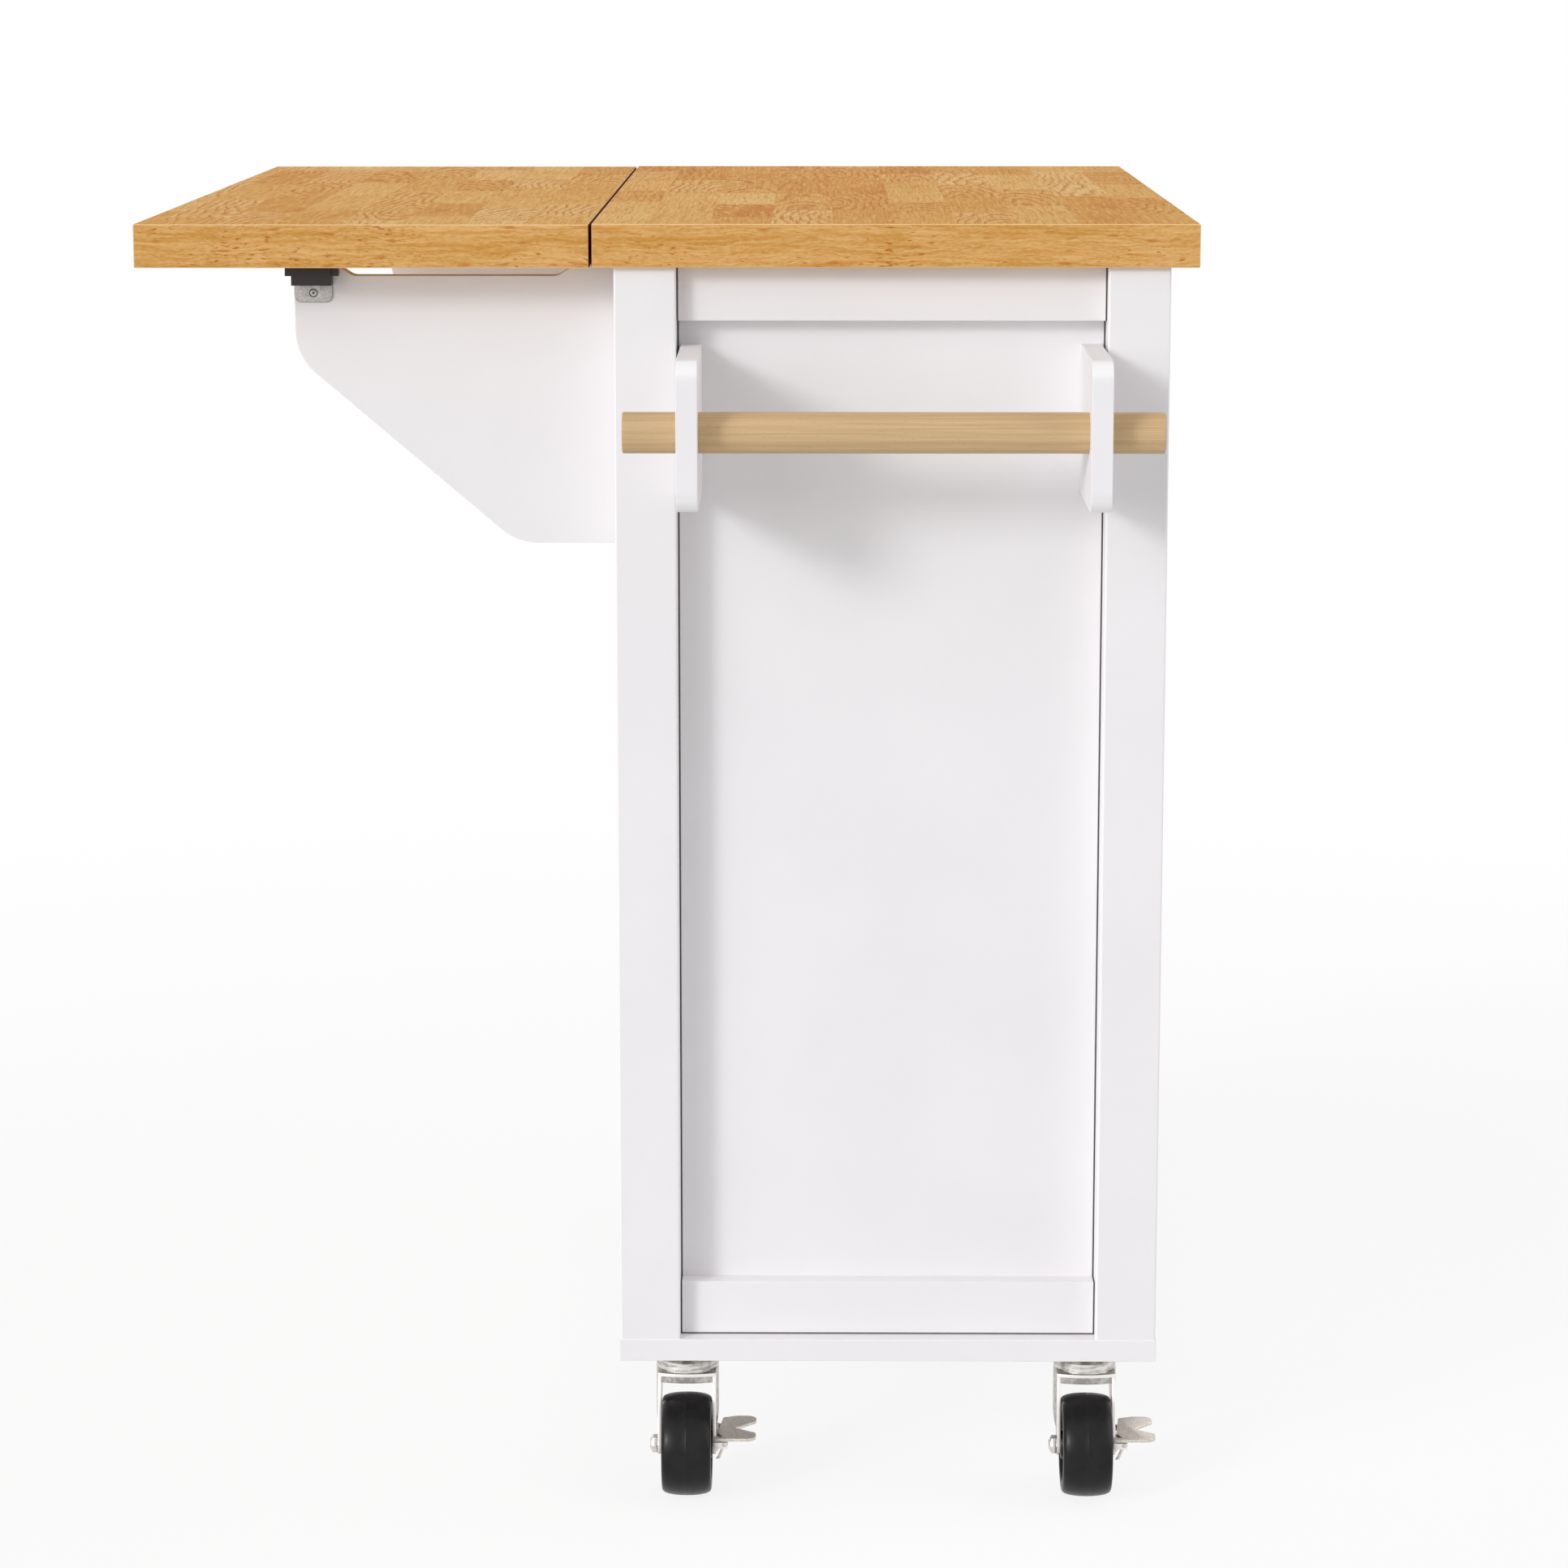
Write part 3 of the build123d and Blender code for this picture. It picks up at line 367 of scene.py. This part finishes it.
def dowel_finish():
    """Pale beech with fine streaks and flecks, darker and ringed on the sawn ends."""
    finish = Finish("beech_dowel")
    x, y, z = finish.parts(finish.object_space())
    fine = finish.noise(finish.point(x * 9, y * 1300, z * 1300), detail=3, roughness=0.6)
    band = finish.noise(finish.point(x * 2.5, y * 150, z * 210), detail=2)
    tone = finish.span(fine * 0.68 + band * 0.32, 0.34, 0.66)
    colour = finish.tint(tone, rgb(196, 163, 119), rgb(214, 184, 142))
    fleck = finish.noise(finish.point(x * 260, y * 1500, z * 1500), detail=1)
    fleck = finish.span(fleck, 0.66, 0.76)
    colour = finish.tint(fleck * 0.4, colour, rgb(168, 126, 84))

    rings = away(y - HEART_Y, z - HEART_Z) * DOWEL_RINGS_PER_METRE + fine * 0.8
    ring = finish.span(rings.maths("FRACT"), 0.35, 0.95)
    sawn = finish.tint(ring, rgb(206, 166, 116), rgb(176, 130, 82))
    at_end = finish.span(finish.facing()[0], 0.6, 0.9)
    colour = finish.tint(at_end, colour, sawn)
    rough = 0.52 + fine * 0.1
    return finish.surface(
        colour, rough, fine, relief=0.00008, strength=0.4, Specular_IOR_Level=0.3
    )


dress(dowel_finish(), "towel_bar")


# ---- Hinges, runners and pivots ----
# Pressed steel with a dull zinc plating, whose faint crystals make a mottle. The hinge plates have
# softly sheared edges and are held by small countersunk screws with a cross recess.
HINGE_EASE = 0.00035
HINGE_REACH = 0.019  # the screws' row, from the pin
LEAF_HINGE_HALF, LEAF_SCREW_STEP = 0.03, 0.021
BRACKET_HINGE_HALF, BRACKET_SCREW_STEP = 0.025, 0.017
LEAF_HEAD_OUT, BRACKET_HEAD_OUT = 0.0016, 0.0015  # a head's middle, from the board's face
SCREW_RADIUS = 0.0031

# A screw head's sizes, as shares of its radius
HEAD_HEIGHT, HEAD_ROUNDING = 0.5, 0.2
RECESS_LENGTH, RECESS_WIDTH, RECESS_CUTTER = 1.15, 0.26, 0.42
RECESS_OUT, RECESS_TOP = 0.62, 0.24  # the faces that the cutters leave lie within these
FIRST_SLANT, SLANT_STEP = 0.5, 1.1  # radians: each screw was driven to its own turn

SMOOTH_BELOW = math.radians(32)  # faces that turn by less are shaded as one
EASED_ABOVE = math.radians(35)  # edges that turn by more are eased


def plated_finish(name, base, rough, grain=1900, contrast=0.25):
    """Plated steel with a mottle of the given contrast."""
    finish = Finish(name)
    place = finish.object_space()
    blotch = finish.noise(place, scale=260, detail=3, roughness=0.7)
    grit = finish.noise(place, scale=grain, detail=2)
    dark = tuple(value * (1 - contrast) for value in base[:3]) + (1.0,)
    colour = finish.tint(finish.span(grit * 0.55 + blotch * 0.45, 0.38, 0.6), dark, base)
    roughness = blotch * 0.16 + (rough - 0.08)
    return finish.surface(colour, roughness, grit, relief=0.00003, strength=0.3, Metallic=1.0)


def only(made):
    """Leaves one object selected and active."""
    bpy.ops.object.select_all(action="DESELECT")
    made.select_set(True)
    bpy.context.view_layer.objects.active = made


def rounded(made, width, segments, above=math.radians(30)):
    """Rounds over the edges of the active object that turn by more than the given angle."""
    rounding = made.modifiers.new("rounding", "BEVEL")
    rounding.width = width
    rounding.segments = segments
    rounding.angle_limit = above
    bpy.ops.object.modifier_apply(modifier="rounding")


def joined(made, others):
    """Joins the others into the first object."""
    only(made)
    for other in others:
        other.select_set(True)
    bpy.ops.object.join()


def finished(made, name, material, slot, body, *nodes):
    """Names a modelled piece, gives it its finish, and sets it on its body for the CAD nodes.
    A piece that has its finishes already comes with None."""
    made.name = name
    made.data.name = name
    if material:
        made.data.materials.clear()
        made.data.materials.append(material)
    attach(made, body)
    if nodes:
        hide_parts(*nodes)
    made.select_set(False)


def body_of(node):
    bodies = frame["record"]["behaviour"]["bodies"]
    return next(name for name, nodes in bodies.items() if node in nodes)


def eased(node, width, material, slot, segments=3):
    """A CAD node's copy, merged, with its sharp edges rounded over by the given width."""
    made = frame["nodes"][node].copy()
    made.data = made.data.copy()
    bpy.context.scene.collection.objects.link(made)
    made.parent = None
    only(made)
    bpy.ops.object.mode_set(mode="EDIT")
    bpy.ops.mesh.select_all(action="SELECT")
    bpy.ops.mesh.remove_doubles(threshold=0.000002)
    bpy.ops.mesh.dissolve_limited(angle_limit=math.radians(0.5))
    bpy.ops.object.mode_set(mode="OBJECT")
    rounded(made, width, segments, EASED_ABOVE)
    bpy.ops.object.shade_smooth_by_angle(angle=SMOOTH_BELOW)
    finished(made, f"{node}_eased", material, slot, body_of(node), node)


def screw_heads(name, places, facing, radius, body):
    """Countersunk heads with a cross recess, painted near black inside as painted shade: one is
    modelled, then copied to each place."""
    height = radius * HEAD_HEIGHT
    bpy.ops.mesh.primitive_cylinder_add(vertices=28, radius=radius, depth=height)
    head = bpy.context.object
    rounded(head, radius * HEAD_ROUNDING, segments=3)
    long, wide = radius * RECESS_LENGTH, radius * RECESS_WIDTH
    cutters = []
    for size in ((long, wide), (wide, long)):
        bpy.ops.mesh.primitive_cube_add(size=1, location=(0, 0, height / 2))
        cutter = bpy.context.object
        cutter.scale = (*size, radius * RECESS_CUTTER)
        bpy.ops.object.transform_apply(location=True, rotation=True, scale=True)
        cutters.append(cutter)
    for cutter in cutters:
        only(head)
        recess = head.modifiers.new("recess", "BOOLEAN")
        recess.object = cutter
        recess.solver = "EXACT"
        bpy.ops.object.modifier_apply(modifier="recess")
        bpy.data.objects.remove(cutter)
    bpy.ops.object.shade_smooth_by_angle(angle=SMOOTH_BELOW)
    head.data.materials.append(SCREW)
    head.data.materials.append(RECESS_SHADE)
    # The faces inside the recess take the painted shade
    for face in head.data.polygons:
        inside = face.center.xy.length < radius * RECESS_OUT
        if inside and 0 < face.center.z < radius * RECESS_TOP:
            face.material_index = 1
    turn = Vector((0, 0, 1)).rotation_difference(Vector(facing)).to_matrix().to_4x4()
    copies = []
    for number, place in enumerate(places):
        copy = head.copy()
        copy.data = head.data.copy()
        slant = Matrix.Rotation(FIRST_SLANT + SLANT_STEP * number, 4, "Z")
        copy.data.transform(Matrix.Translation(place) @ turn @ slant)
        bpy.context.scene.collection.objects.link(copy)
        copies.append(copy)
    bpy.data.objects.remove(head)
    joined(copies[0], copies[1:])
    finished(copies[0], name, None, "zinc_steel", body)


ZINC = plated_finish("zinc_plate", (0.5, 0.49, 0.48, 1.0), rough=0.42)
SCREW = plated_finish("screw_plate", (0.56, 0.55, 0.53, 1.0), rough=0.34)
# Painted shade for the inside of the cross recesses
RECESS_SHADE = plated_finish("screw_recess_shade", (0.05, 0.045, 0.045, 1.0), rough=0.6)
dress(ZINC, *in_slot("zinc_steel"))
hinge_nodes = ["leaf_hinge_plates", "leaf_hinge_flaps", "bracket_hinge_plates"]
hinge_nodes += [f"{end}_bracket_hinge_flaps" for end in ("left", "right")]
for node in hinge_nodes:
    eased(node, HINGE_EASE, ZINC, "zinc_steel", segments=2)
joints = {joint["name"]: joint for joint in frame["record"]["behaviour"]["joints"]}

# Leaf hinges: three screws up through each plate, at the three hinges
leaf_pin = joints["leaf_hinge"]["pos_m"]
plates_low, plates_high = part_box("leaf_hinge_plates")
hinge_ys = (plates_low[1] + LEAF_HINGE_HALF, leaf_pin[1], plates_high[1] - LEAF_HINGE_HALF)
for name, side, node in (("top", 1, "leaf_hinge_plates"), ("leaf", -1, "leaf_hinge_flaps")):
    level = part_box(node)[1][2] - LEAF_HEAD_OUT
    places = [
        (leaf_pin[0] + side * HINGE_REACH, y + step * LEAF_SCREW_STEP, level)
        for y in hinge_ys
        for step in (-1, 0, 1)
    ]
    screw_heads(f"{name}_hinge_screws", places, (0, 0, -1), SCREW_RADIUS, body_of(node))

# Bracket hinges: three screws through each leaf of the two hinges on either bracket
for end, side in (("left", -1), ("right", 1)):
    pin = joints[f"{end}_bracket_swing"]["pos_m"]
    flaps_low, flaps_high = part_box(f"{end}_bracket_hinge_flaps")
    levels = [
        z + step * BRACKET_SCREW_STEP
        for z in (flaps_low[2] + BRACKET_HINGE_HALF, flaps_high[2] - BRACKET_HINGE_HALF)
        for step in (-1, 0, 1)
    ]
    panel_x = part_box("back_panel")[0][0] - BRACKET_HEAD_OUT
    on_panel = [(panel_x, pin[1] - side * HINGE_REACH, z) for z in levels]
    screw_heads(f"{end}_panel_hinge_screws", on_panel, (-1, 0, 0), SCREW_RADIUS, "root")
    flap_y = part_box(f"{end}_support_bracket")[side < 0][1] - side * BRACKET_HEAD_OUT
    on_flap = [(pin[0] - HINGE_REACH, flap_y, z) for z in levels]
    screw_heads(f"{end}_flap_screws", on_flap, (0, -side, 0), SCREW_RADIUS, f"{end}_bracket")


# ---- Strike plates ----
# A stamped zinc plate with two round corners and a coarse spangle, on the outer face of each
# bracket. One countersunk screw holds it, and the leaf's magnet meets it.
STRIKE_EASE = 0.0004
STRIKE_SCREW_RADIUS = 0.0024
STRIKE_SCREW_RISE = 0.0065  # above the plate's lower edge
STRIKE_HEAD_SINK = 0.0003  # a head's middle, below the plate's face
COUNTERSINK = (0.003, 0.0033)  # its radius, and where its painted shade ends
plate_low, plate_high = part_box("left_strike_plate")
STRIKE_X = (plate_low[0] + plate_high[0]) / 2
STRIKE_SCREW_Z = plate_low[2] + STRIKE_SCREW_RISE


def strike_finish():
    """Spangled zinc, with painted shade on its sheared edge and in a ring round the screw."""
    finish = Finish("spangled_zinc")
    dull, bright = (0.36, 0.335, 0.31, 1.0), (0.58, 0.55, 0.52, 1.0)
    shade = (0.06, 0.055, 0.05, 1.0)
    place = finish.object_space()
    x, _, z = finish.parts(place)
    spangle = finish.noise(place, scale=1500, detail=3, roughness=0.7)
    colour = finish.tint(finish.span(spangle, 0.38, 0.62), dull, bright)
    # Painted shade: a dark ring in the countersink round the screw, and a dark sheared edge
    sink = finish.span(away(x - STRIKE_X, z - STRIKE_SCREW_Z), *COUNTERSINK, 1.0, 0.0)
    edge = finish.span(finish.facing()[1], 0.93, 0.99, 1.0, 0.0)
    colour = finish.tint(sink.maths("MAXIMUM", edge) * 0.85, colour, shade)
    rough = spangle * 0.15 + 0.42
    return finish.surface(colour, rough, spangle, relief=0.00003, strength=0.3, Metallic=1.0)


STRIKE = strike_finish()
for end, side in (("left", -1), ("right", 1)):
    plate = f"{end}_strike_plate"
    eased(plate, STRIKE_EASE, STRIKE, "zinc_steel", segments=2)
    outer_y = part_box(plate)[side > 0][1]
    place = (STRIKE_X, outer_y - side * STRIKE_HEAD_SINK, STRIKE_SCREW_Z)
    outward = (0, side, 0)
    screw_heads(f"{end}_strike_screw", [place], outward, STRIKE_SCREW_RADIUS, f"{end}_bracket")


# ---- Magnetic catches ----
# Moulded black bodies with an ear on either side, screwed up into the leaf just outside each
# bracket. The magnet in each one holds the bracket's strike plate.
CATCH_EASE = 0.0006


def moulded_finish(name, shade, rough, relief, **fixed):
    """Black plastic with a fine moulded grain."""
    finish = Finish(name)
    place = finish.object_space()
    grain = finish.noise(place, scale=1400, detail=2)
    cloud = finish.noise(place, scale=90, detail=2)
    pale = tuple(value * 1.5 for value in shade[:3]) + (1.0,)
    colour = finish.tint(finish.span(cloud, 0.3, 0.7), shade, pale)
    return finish.surface(colour, cloud * 0.1 + rough, grain, relief, strength=0.4, **fixed)


BLACK = moulded_finish(
    "catch_plastic", (0.021, 0.016, 0.016, 1.0), rough=0.45, relief=0.00004
)
eased("leaf_catches", CATCH_EASE, BLACK, "black_plastic")


# ---- Knobs ----
# Turned zinc castings, nickel plated and brushed dull. One stands on each door's border, and two
# on the drawer front.
KNOB = plated_finish(
    "brushed_nickel", (0.4, 0.38, 0.355, 1.0), rough=0.34, grain=2600, contrast=0.2
)
knob_nodes = ["left_door_knob", "right_door_knob", "drawer_knobs"]
dress(KNOB, *knob_nodes)


# ---- Casters ----
# Swivel casters: a nickel plated fork pressed from thick sheet, a one-piece black wheel on a bolt
# with a locking nut, and on the towel rail's end a stamped brake pedal. Each one's plate is
# screwed up into the base board.
CASTER_EASE = 0.0006
RIBS = 6  # between the hub and the rim, on either side of the wheel
RIB_SIZE = (0.0088, 0.0022, 0.0156)
RIB_ROUNDING = 0.0005
RIB_ASIDE, RIB_OUT = 0.0092, 0.0184  # a rib's middle, from the wheel's mid plane and axle
SHANK_RADIUS = 0.0039
AXLE_HEAD_RADIUS, AXLE_HEAD_HEIGHT = 0.006, 0.0018
NUT_RADIUS, NUT_ROUNDING = 0.0069, 0.0007
COLLAR_OUT = 0.0016  # how far the locking collar and the bolt stand out of the nut
LEG_INSIDE = (0.0184, 0.0189)  # the inner faces of a fork's legs, from its swivel
LIP_BOTTOM, LIP_TOP = (0.0878, 0.0882), (0.0903, 0.0906)  # the crown's lip, above the floor


def turned(outline, centre, axis, radial, steps):
    """Extrudes a point along an outline of (distance along the axis, radius) pairs, then spins
    it about the axis and closes the seams."""
    centre, axis, radial = Vector(centre), Vector(axis), Vector(radial)
    points = [centre + axis * along + radial * out for along, out in outline]
    bpy.ops.mesh.primitive_plane_add(size=0.001, location=points[0])
    made = bpy.context.object
    bpy.ops.object.transform_apply(location=True, rotation=True, scale=True)
    bpy.ops.object.mode_set(mode="EDIT")
    bpy.ops.mesh.select_mode(type="VERT")
    bpy.ops.mesh.select_all(action="SELECT")
    bpy.ops.mesh.merge(type="CENTER")
    for start, end in zip(points, points[1:]):
        bpy.ops.mesh.extrude_region_move(TRANSFORM_OT_translate={"value": end - start})
    bpy.ops.mesh.select_all(action="SELECT")
    bpy.ops.mesh.spin(steps=steps, angle=math.tau, center=centre, axis=axis)
    bpy.ops.mesh.select_all(action="SELECT")
    bpy.ops.mesh.remove_doubles(threshold=0.000005)
    bpy.ops.mesh.normals_make_consistent(inside=False)
    bpy.ops.object.mode_set(mode="OBJECT")
    bpy.ops.object.shade_smooth_by_angle(angle=SMOOTH_BELOW)
    return made


def wheel_outline():
    """Half of the wheel's section, from the middle of the tread to the bore, then mirrored."""
    tread = [
        (0.0, 0.0375),
        (0.00035, 0.03738),
        (0.0045, 0.0373),
        (0.0090, 0.0369),
        (0.0130, 0.0362),
        (0.0156, 0.0353),
        (0.0171, 0.0343),
        (0.0178, 0.0331),
        (0.0180, 0.0318),
        (0.0180, 0.0306),
    ]
    groove = [(0.0174, 0.0303), (0.0174, 0.0297), (0.0180, 0.0294)]
    rim = [(0.0180, 0.0281), (0.0176, 0.0272), (0.0168, 0.0266), (0.0062, 0.0257)]
    web = [(0.0051, 0.0247), (0.0050, 0.0235), (0.0050, 0.0131), (0.0052, 0.0121)]
    hub = [
        (0.0063, 0.0113),
        (0.0172, 0.0105),
        (0.0184, 0.0099),
        (0.0185, 0.0090),
        (0.0185, 0.0041),
    ]
    half = tread + groove + rim + web + hub
    other = [(-along, out) for along, out in reversed(half[1:])]
    return half + other + [half[0]]


def wheel(spot, centre):
    """The moulded wheel, with ribs between its hub and rim on either side."""
    made = turned(wheel_outline(), centre, (1, 0, 0), (0, 0, 1), steps=96)
    ribs = []
    for side in (-1, 1):
        for step in range(RIBS):
            bpy.ops.mesh.primitive_cube_add(size=1)
            rib = bpy.context.object
            rib.scale = RIB_SIZE
            rib.location = (side * RIB_ASIDE, 0, RIB_OUT)
            bpy.ops.object.transform_apply(location=True, rotation=True, scale=True)
            rounded(rib, RIB_ROUNDING, segments=2)
            rib.data.transform(Matrix.Rotation(math.tau * (step + 0.5) / RIBS, 4, "X"))
            rib.data.transform(Matrix.Translation(centre))
            ribs.append(rib)
    joined(made, ribs)
    bpy.ops.object.shade_smooth_by_angle(angle=SMOOTH_BELOW)
    node = f"{spot}_caster_wheel"
    finished(made, f"{spot}_wheel_moulding", WHEEL, "caster_black", body_of(node), node)


def axle(spot, centre):
    """The axle: a domed head on the front side, the shank, and a six-sided locking nut."""
    node = f"{spot}_caster_axle"
    low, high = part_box(node)
    head_end, nut_end = high[0] - centre[0], low[0] - centre[0]
    fork_face = head_end - AXLE_HEAD_HEIGHT
    collar_end = nut_end + 0.0030
    bolt_end = [(nut_end, 0.0), (nut_end, 0.0032), (nut_end + 0.0006, 0.0038)]
    collar = [
        (nut_end + 0.0007, 0.0046),
        (nut_end + 0.0011, 0.0053),
        (nut_end + 0.0022, 0.0058),
        (collar_end, 0.0059),
    ]
    shank = [(collar_end, SHANK_RADIUS), (fork_face, SHANK_RADIUS)]
    head = [
        (fork_face, AXLE_HEAD_RADIUS),
        (head_end - 0.0011, AXLE_HEAD_RADIUS),
        (head_end - 0.0004, 0.0052),
        (head_end, 0.0034),
        (head_end, 0.0),
    ]
    outline = bolt_end + collar + shank + head
    made = turned(outline, centre, (1, 0, 0), (0, 0, 1), steps=40)
    nut_length = -fork_face - nut_end - COLLAR_OUT
    nut_middle = -fork_face - nut_length / 2
    bpy.ops.mesh.primitive_cylinder_add(
        vertices=6,
        radius=NUT_RADIUS,
        depth=nut_length,
        location=(centre[0] + nut_middle, centre[1], centre[2]),
        rotation=(0, math.radians(90), 0),
    )
    nut = bpy.context.object
    bpy.ops.object.transform_apply(location=True, rotation=True, scale=True)
    rounded(nut, NUT_ROUNDING, segments=3)
    bpy.ops.object.shade_smooth_by_angle(angle=SMOOTH_BELOW)
    joined(made, [nut])
    finished(made, f"{spot}_axle_bolt", NICKEL, "nickel", body_of(node), node)


def pressed_finish(middle, spread):
    """Nickel plated sheet: dull faces, a mottled crown with painted streaks of reflection, and
    painted highlights on the rims of the legs and the lip. The casters' swivels stand at the given
    spread on either side of the middle."""
    finish = Finish("pressed_nickel")
    dull, shiny, edge_highlight = (0.4, 0.375, 0.35, 1.0), (0.8, 0.77, 0.74, 1.0), (0.93, 0.9, 0.88, 1.0)
    place = finish.object_space()
    x, y, z = finish.parts(place)
    from_swivel = abs(abs(x - middle) - spread)
    in_leg = finish.span(from_swivel, *LEG_INSIDE)
    in_lip = finish.span(z, *LIP_BOTTOM) * finish.span(z, *LIP_TOP, 1.0, 0.0)
    above = finish.span(z, *LIP_TOP)
    to_end = finish.span(finish.facing()[1], 0.6, 0.9)
    rim = in_leg.maths("MAXIMUM", in_lip) * to_end * (1 - above)
    blotch = finish.noise(place, scale=240, detail=3, roughness=0.7)
    reflection_streaks = finish.noise(finish.point(x * 60, y * 60, z * 520), detail=2)
    colour = finish.tint(finish.span(blotch, 0.4, 0.62) * 0.5, dull, shiny)
    # Painted reflection: pale streaks across the crown above the lip
    colour = finish.tint(finish.span(reflection_streaks, 0.42, 0.6) * above * 0.8, colour, shiny)
    # Painted highlight: the rims of the legs and the lip are tinted near white
    colour = finish.tint(rim, colour, edge_highlight)
    roughness = blotch * 0.12 + 0.24 + rim * 0.16
    return finish.surface(colour, roughness, blotch, relief=0.00003, strength=0.3, Metallic=1.0)


NICKEL = plated_finish("nickel_plate", (0.82, 0.79, 0.76, 1.0), rough=0.3)
dress(NICKEL, *(node for node in in_slot("nickel") if node not in knob_nodes))
swivels = [joints[f"{end}_right_swivel"]["pos_m"][0] for end in ("back", "front")]
FORK = pressed_finish(sum(swivels) / 2, (swivels[1] - swivels[0]) / 2)
WHEEL = moulded_finish(
    "wheel_plastic",
    (0.0095, 0.009, 0.0095, 1.0),
    rough=0.27,
    relief=0.00001,
    Specular_IOR_Level=0.2,
)
PEDAL = plated_finish(
    "pedal_plate", (0.8, 0.735, 0.655, 1.0), rough=0.42, grain=900, contrast=0.26
)
for spot in ("back_left", "front_left", "back_right", "front_right"):
    hub_centre = joints[f"{spot}_wheel_spin"]["pos_m"]
    wheel(spot, hub_centre)
    axle(spot, hub_centre)
    eased(f"{spot}_caster_fork", CASTER_EASE, FORK, "nickel")
for spot in ("back_left", "front_left"):
    eased(f"{spot}_brake_pedal", CASTER_EASE, PEDAL, "nickel")


# ---- Drawer box ----
# A box of lacquered plywood: two sides and a rear, butted to the drawer front, with a thin bottom
# let into grooves. It runs on steel slides.
def plywood_finish():
    """Pale plywood, grained level on the sides and along the cart on the bottom."""
    finish = Finish("lacquered_plywood")
    x, y, z = finish.parts(finish.object_space())
    on_sides = finish.noise(finish.point(x * 22, y * 22, z * 900), detail=4, roughness=0.6)
    on_floor = finish.noise(finish.point(x * 800, y * 14, 0.0), detail=4, roughness=0.6)
    fine = finish.mix(finish.span(finish.facing()[2], *TURNED), on_sides, on_floor)
    flame = finish.noise(finish.point(x * 36, y * 3, z * 36), detail=3)
    colour = finish.tint(finish.span(fine, 0.38, 0.62), rgb(205, 177, 136), rgb(222, 198, 161))
    colour = finish.tint(finish.span(flame, 0.45, 0.6) * 0.35, colour, rgb(212, 180, 132))
    return finish.surface(colour, 0.45 + fine * 0.1, fine, relief=0.00006, strength=0.4)


dress(plywood_finish(), "drawer_box", "drawer_bottom")


# ---- Floor, light and camera ----
# A pale studio floor that fades to white under a plain white sky, three broad suns that stand for
# a window, its wall and the room, and the camera at the end with the towel rail.
WHITE = (1.0, 1.0, 1.0, 1.0)
SKY_LIGHT = 0.47  # the strength that lights the cart, where the sky that is seen has 1
FADE = (0.7, 2.6)  # the floor goes over to white between these distances
CAMERA_PLACE = (0.1023, -3.3, 1.1124)
CAMERA_DIP, CAMERA_TURN = 9.78, 0.42  # degrees below level, and to the left
CAMERA_LENS, CAMERA_SHIFT = 98.46, -0.06


def seen(finish):
    """1 for what the camera sees straight, in metal or through glass, and 0 for other light."""
    kinds = ("Camera", "Glossy", "Transmission")
    rays = [finish.node("ShaderNodeLightPath", output=f"Is {kind} Ray") for kind in kinds]
    return rays[0].maths("MAXIMUM", rays[1].maths("MAXIMUM", rays[2]))


bpy.ops.mesh.primitive_plane_add(size=14)
floor = bpy.context.object
floor.name = "studio_floor"
finish = Finish("studio_floor")
x, y, _ = finish.parts(finish.object_space())
plain = finish.node("ShaderNodeBsdfDiffuse", None, {"Color": (0.8, 0.8, 0.8, 1.0)})
bright = finish.node("ShaderNodeBsdfDiffuse", None, {"Color": (0.97, 0.97, 0.97, 1.0)})
glow = finish.node("ShaderNodeEmission", None, {"Color": WHITE, "Strength": 1.0})
fade = finish.span(away(x, y), *FADE, 0.85, 1.0)
shown = finish.node("ShaderNodeMixShader", None, (fade, bright, glow))
mixed = finish.node("ShaderNodeMixShader", None, (seen(finish), plain, shown))
finish.node("ShaderNodeOutputMaterial", None, (mixed,), None)
floor.data.materials.append(finish.made)

sky = Finish("studio", bpy.data.worlds)
ambient = sky.node("ShaderNodeBackground", None, {"Color": WHITE, "Strength": SKY_LIGHT})
backdrop = sky.node("ShaderNodeBackground", None, {"Color": WHITE, "Strength": 1.0})
mixed = sky.node("ShaderNodeMixShader", None, (seen(sky), ambient, backdrop))
sky.node("ShaderNodeOutputWorld", None, (mixed,), None)
bpy.context.scene.world = sky.made

# A window to the left of the rail, the pale wall round it, and a weaker glow off the front. Each
# comes with its strength, the degrees that it spreads over, and the way to it
lamps = (
    ("window", 0.95, 13, (-1.0, -1.0, 0.55)),
    ("window_wall", 0.85, 46, (-1.0, -1.0, 0.5)),
    ("front_wall", 0.8, 50, (1.0, -0.1, 0.5)),
)
for name, energy, spread, source in lamps:
    lamp_data = bpy.data.lights.new(name, "SUN")
    lamp_data.energy = energy
    lamp_data.angle = math.radians(spread)
    lamp = bpy.data.objects.new(name, lamp_data)
    bpy.context.scene.collection.objects.link(lamp)
    lamp.rotation_euler = Vector(source).to_track_quat("Z", "Y").to_euler()

camera_data = bpy.data.cameras.new("camera")
camera_data.lens = CAMERA_LENS
camera_data.shift_y = CAMERA_SHIFT
camera = bpy.data.objects.new("camera", camera_data)
bpy.context.scene.collection.objects.link(camera)
camera.location = CAMERA_PLACE
camera.rotation_euler = (math.radians(90 - CAMERA_DIP), 0.0, math.radians(CAMERA_TURN))
bpy.context.scene.camera = camera
bpy.context.scene.view_settings.view_transform = "Standard"
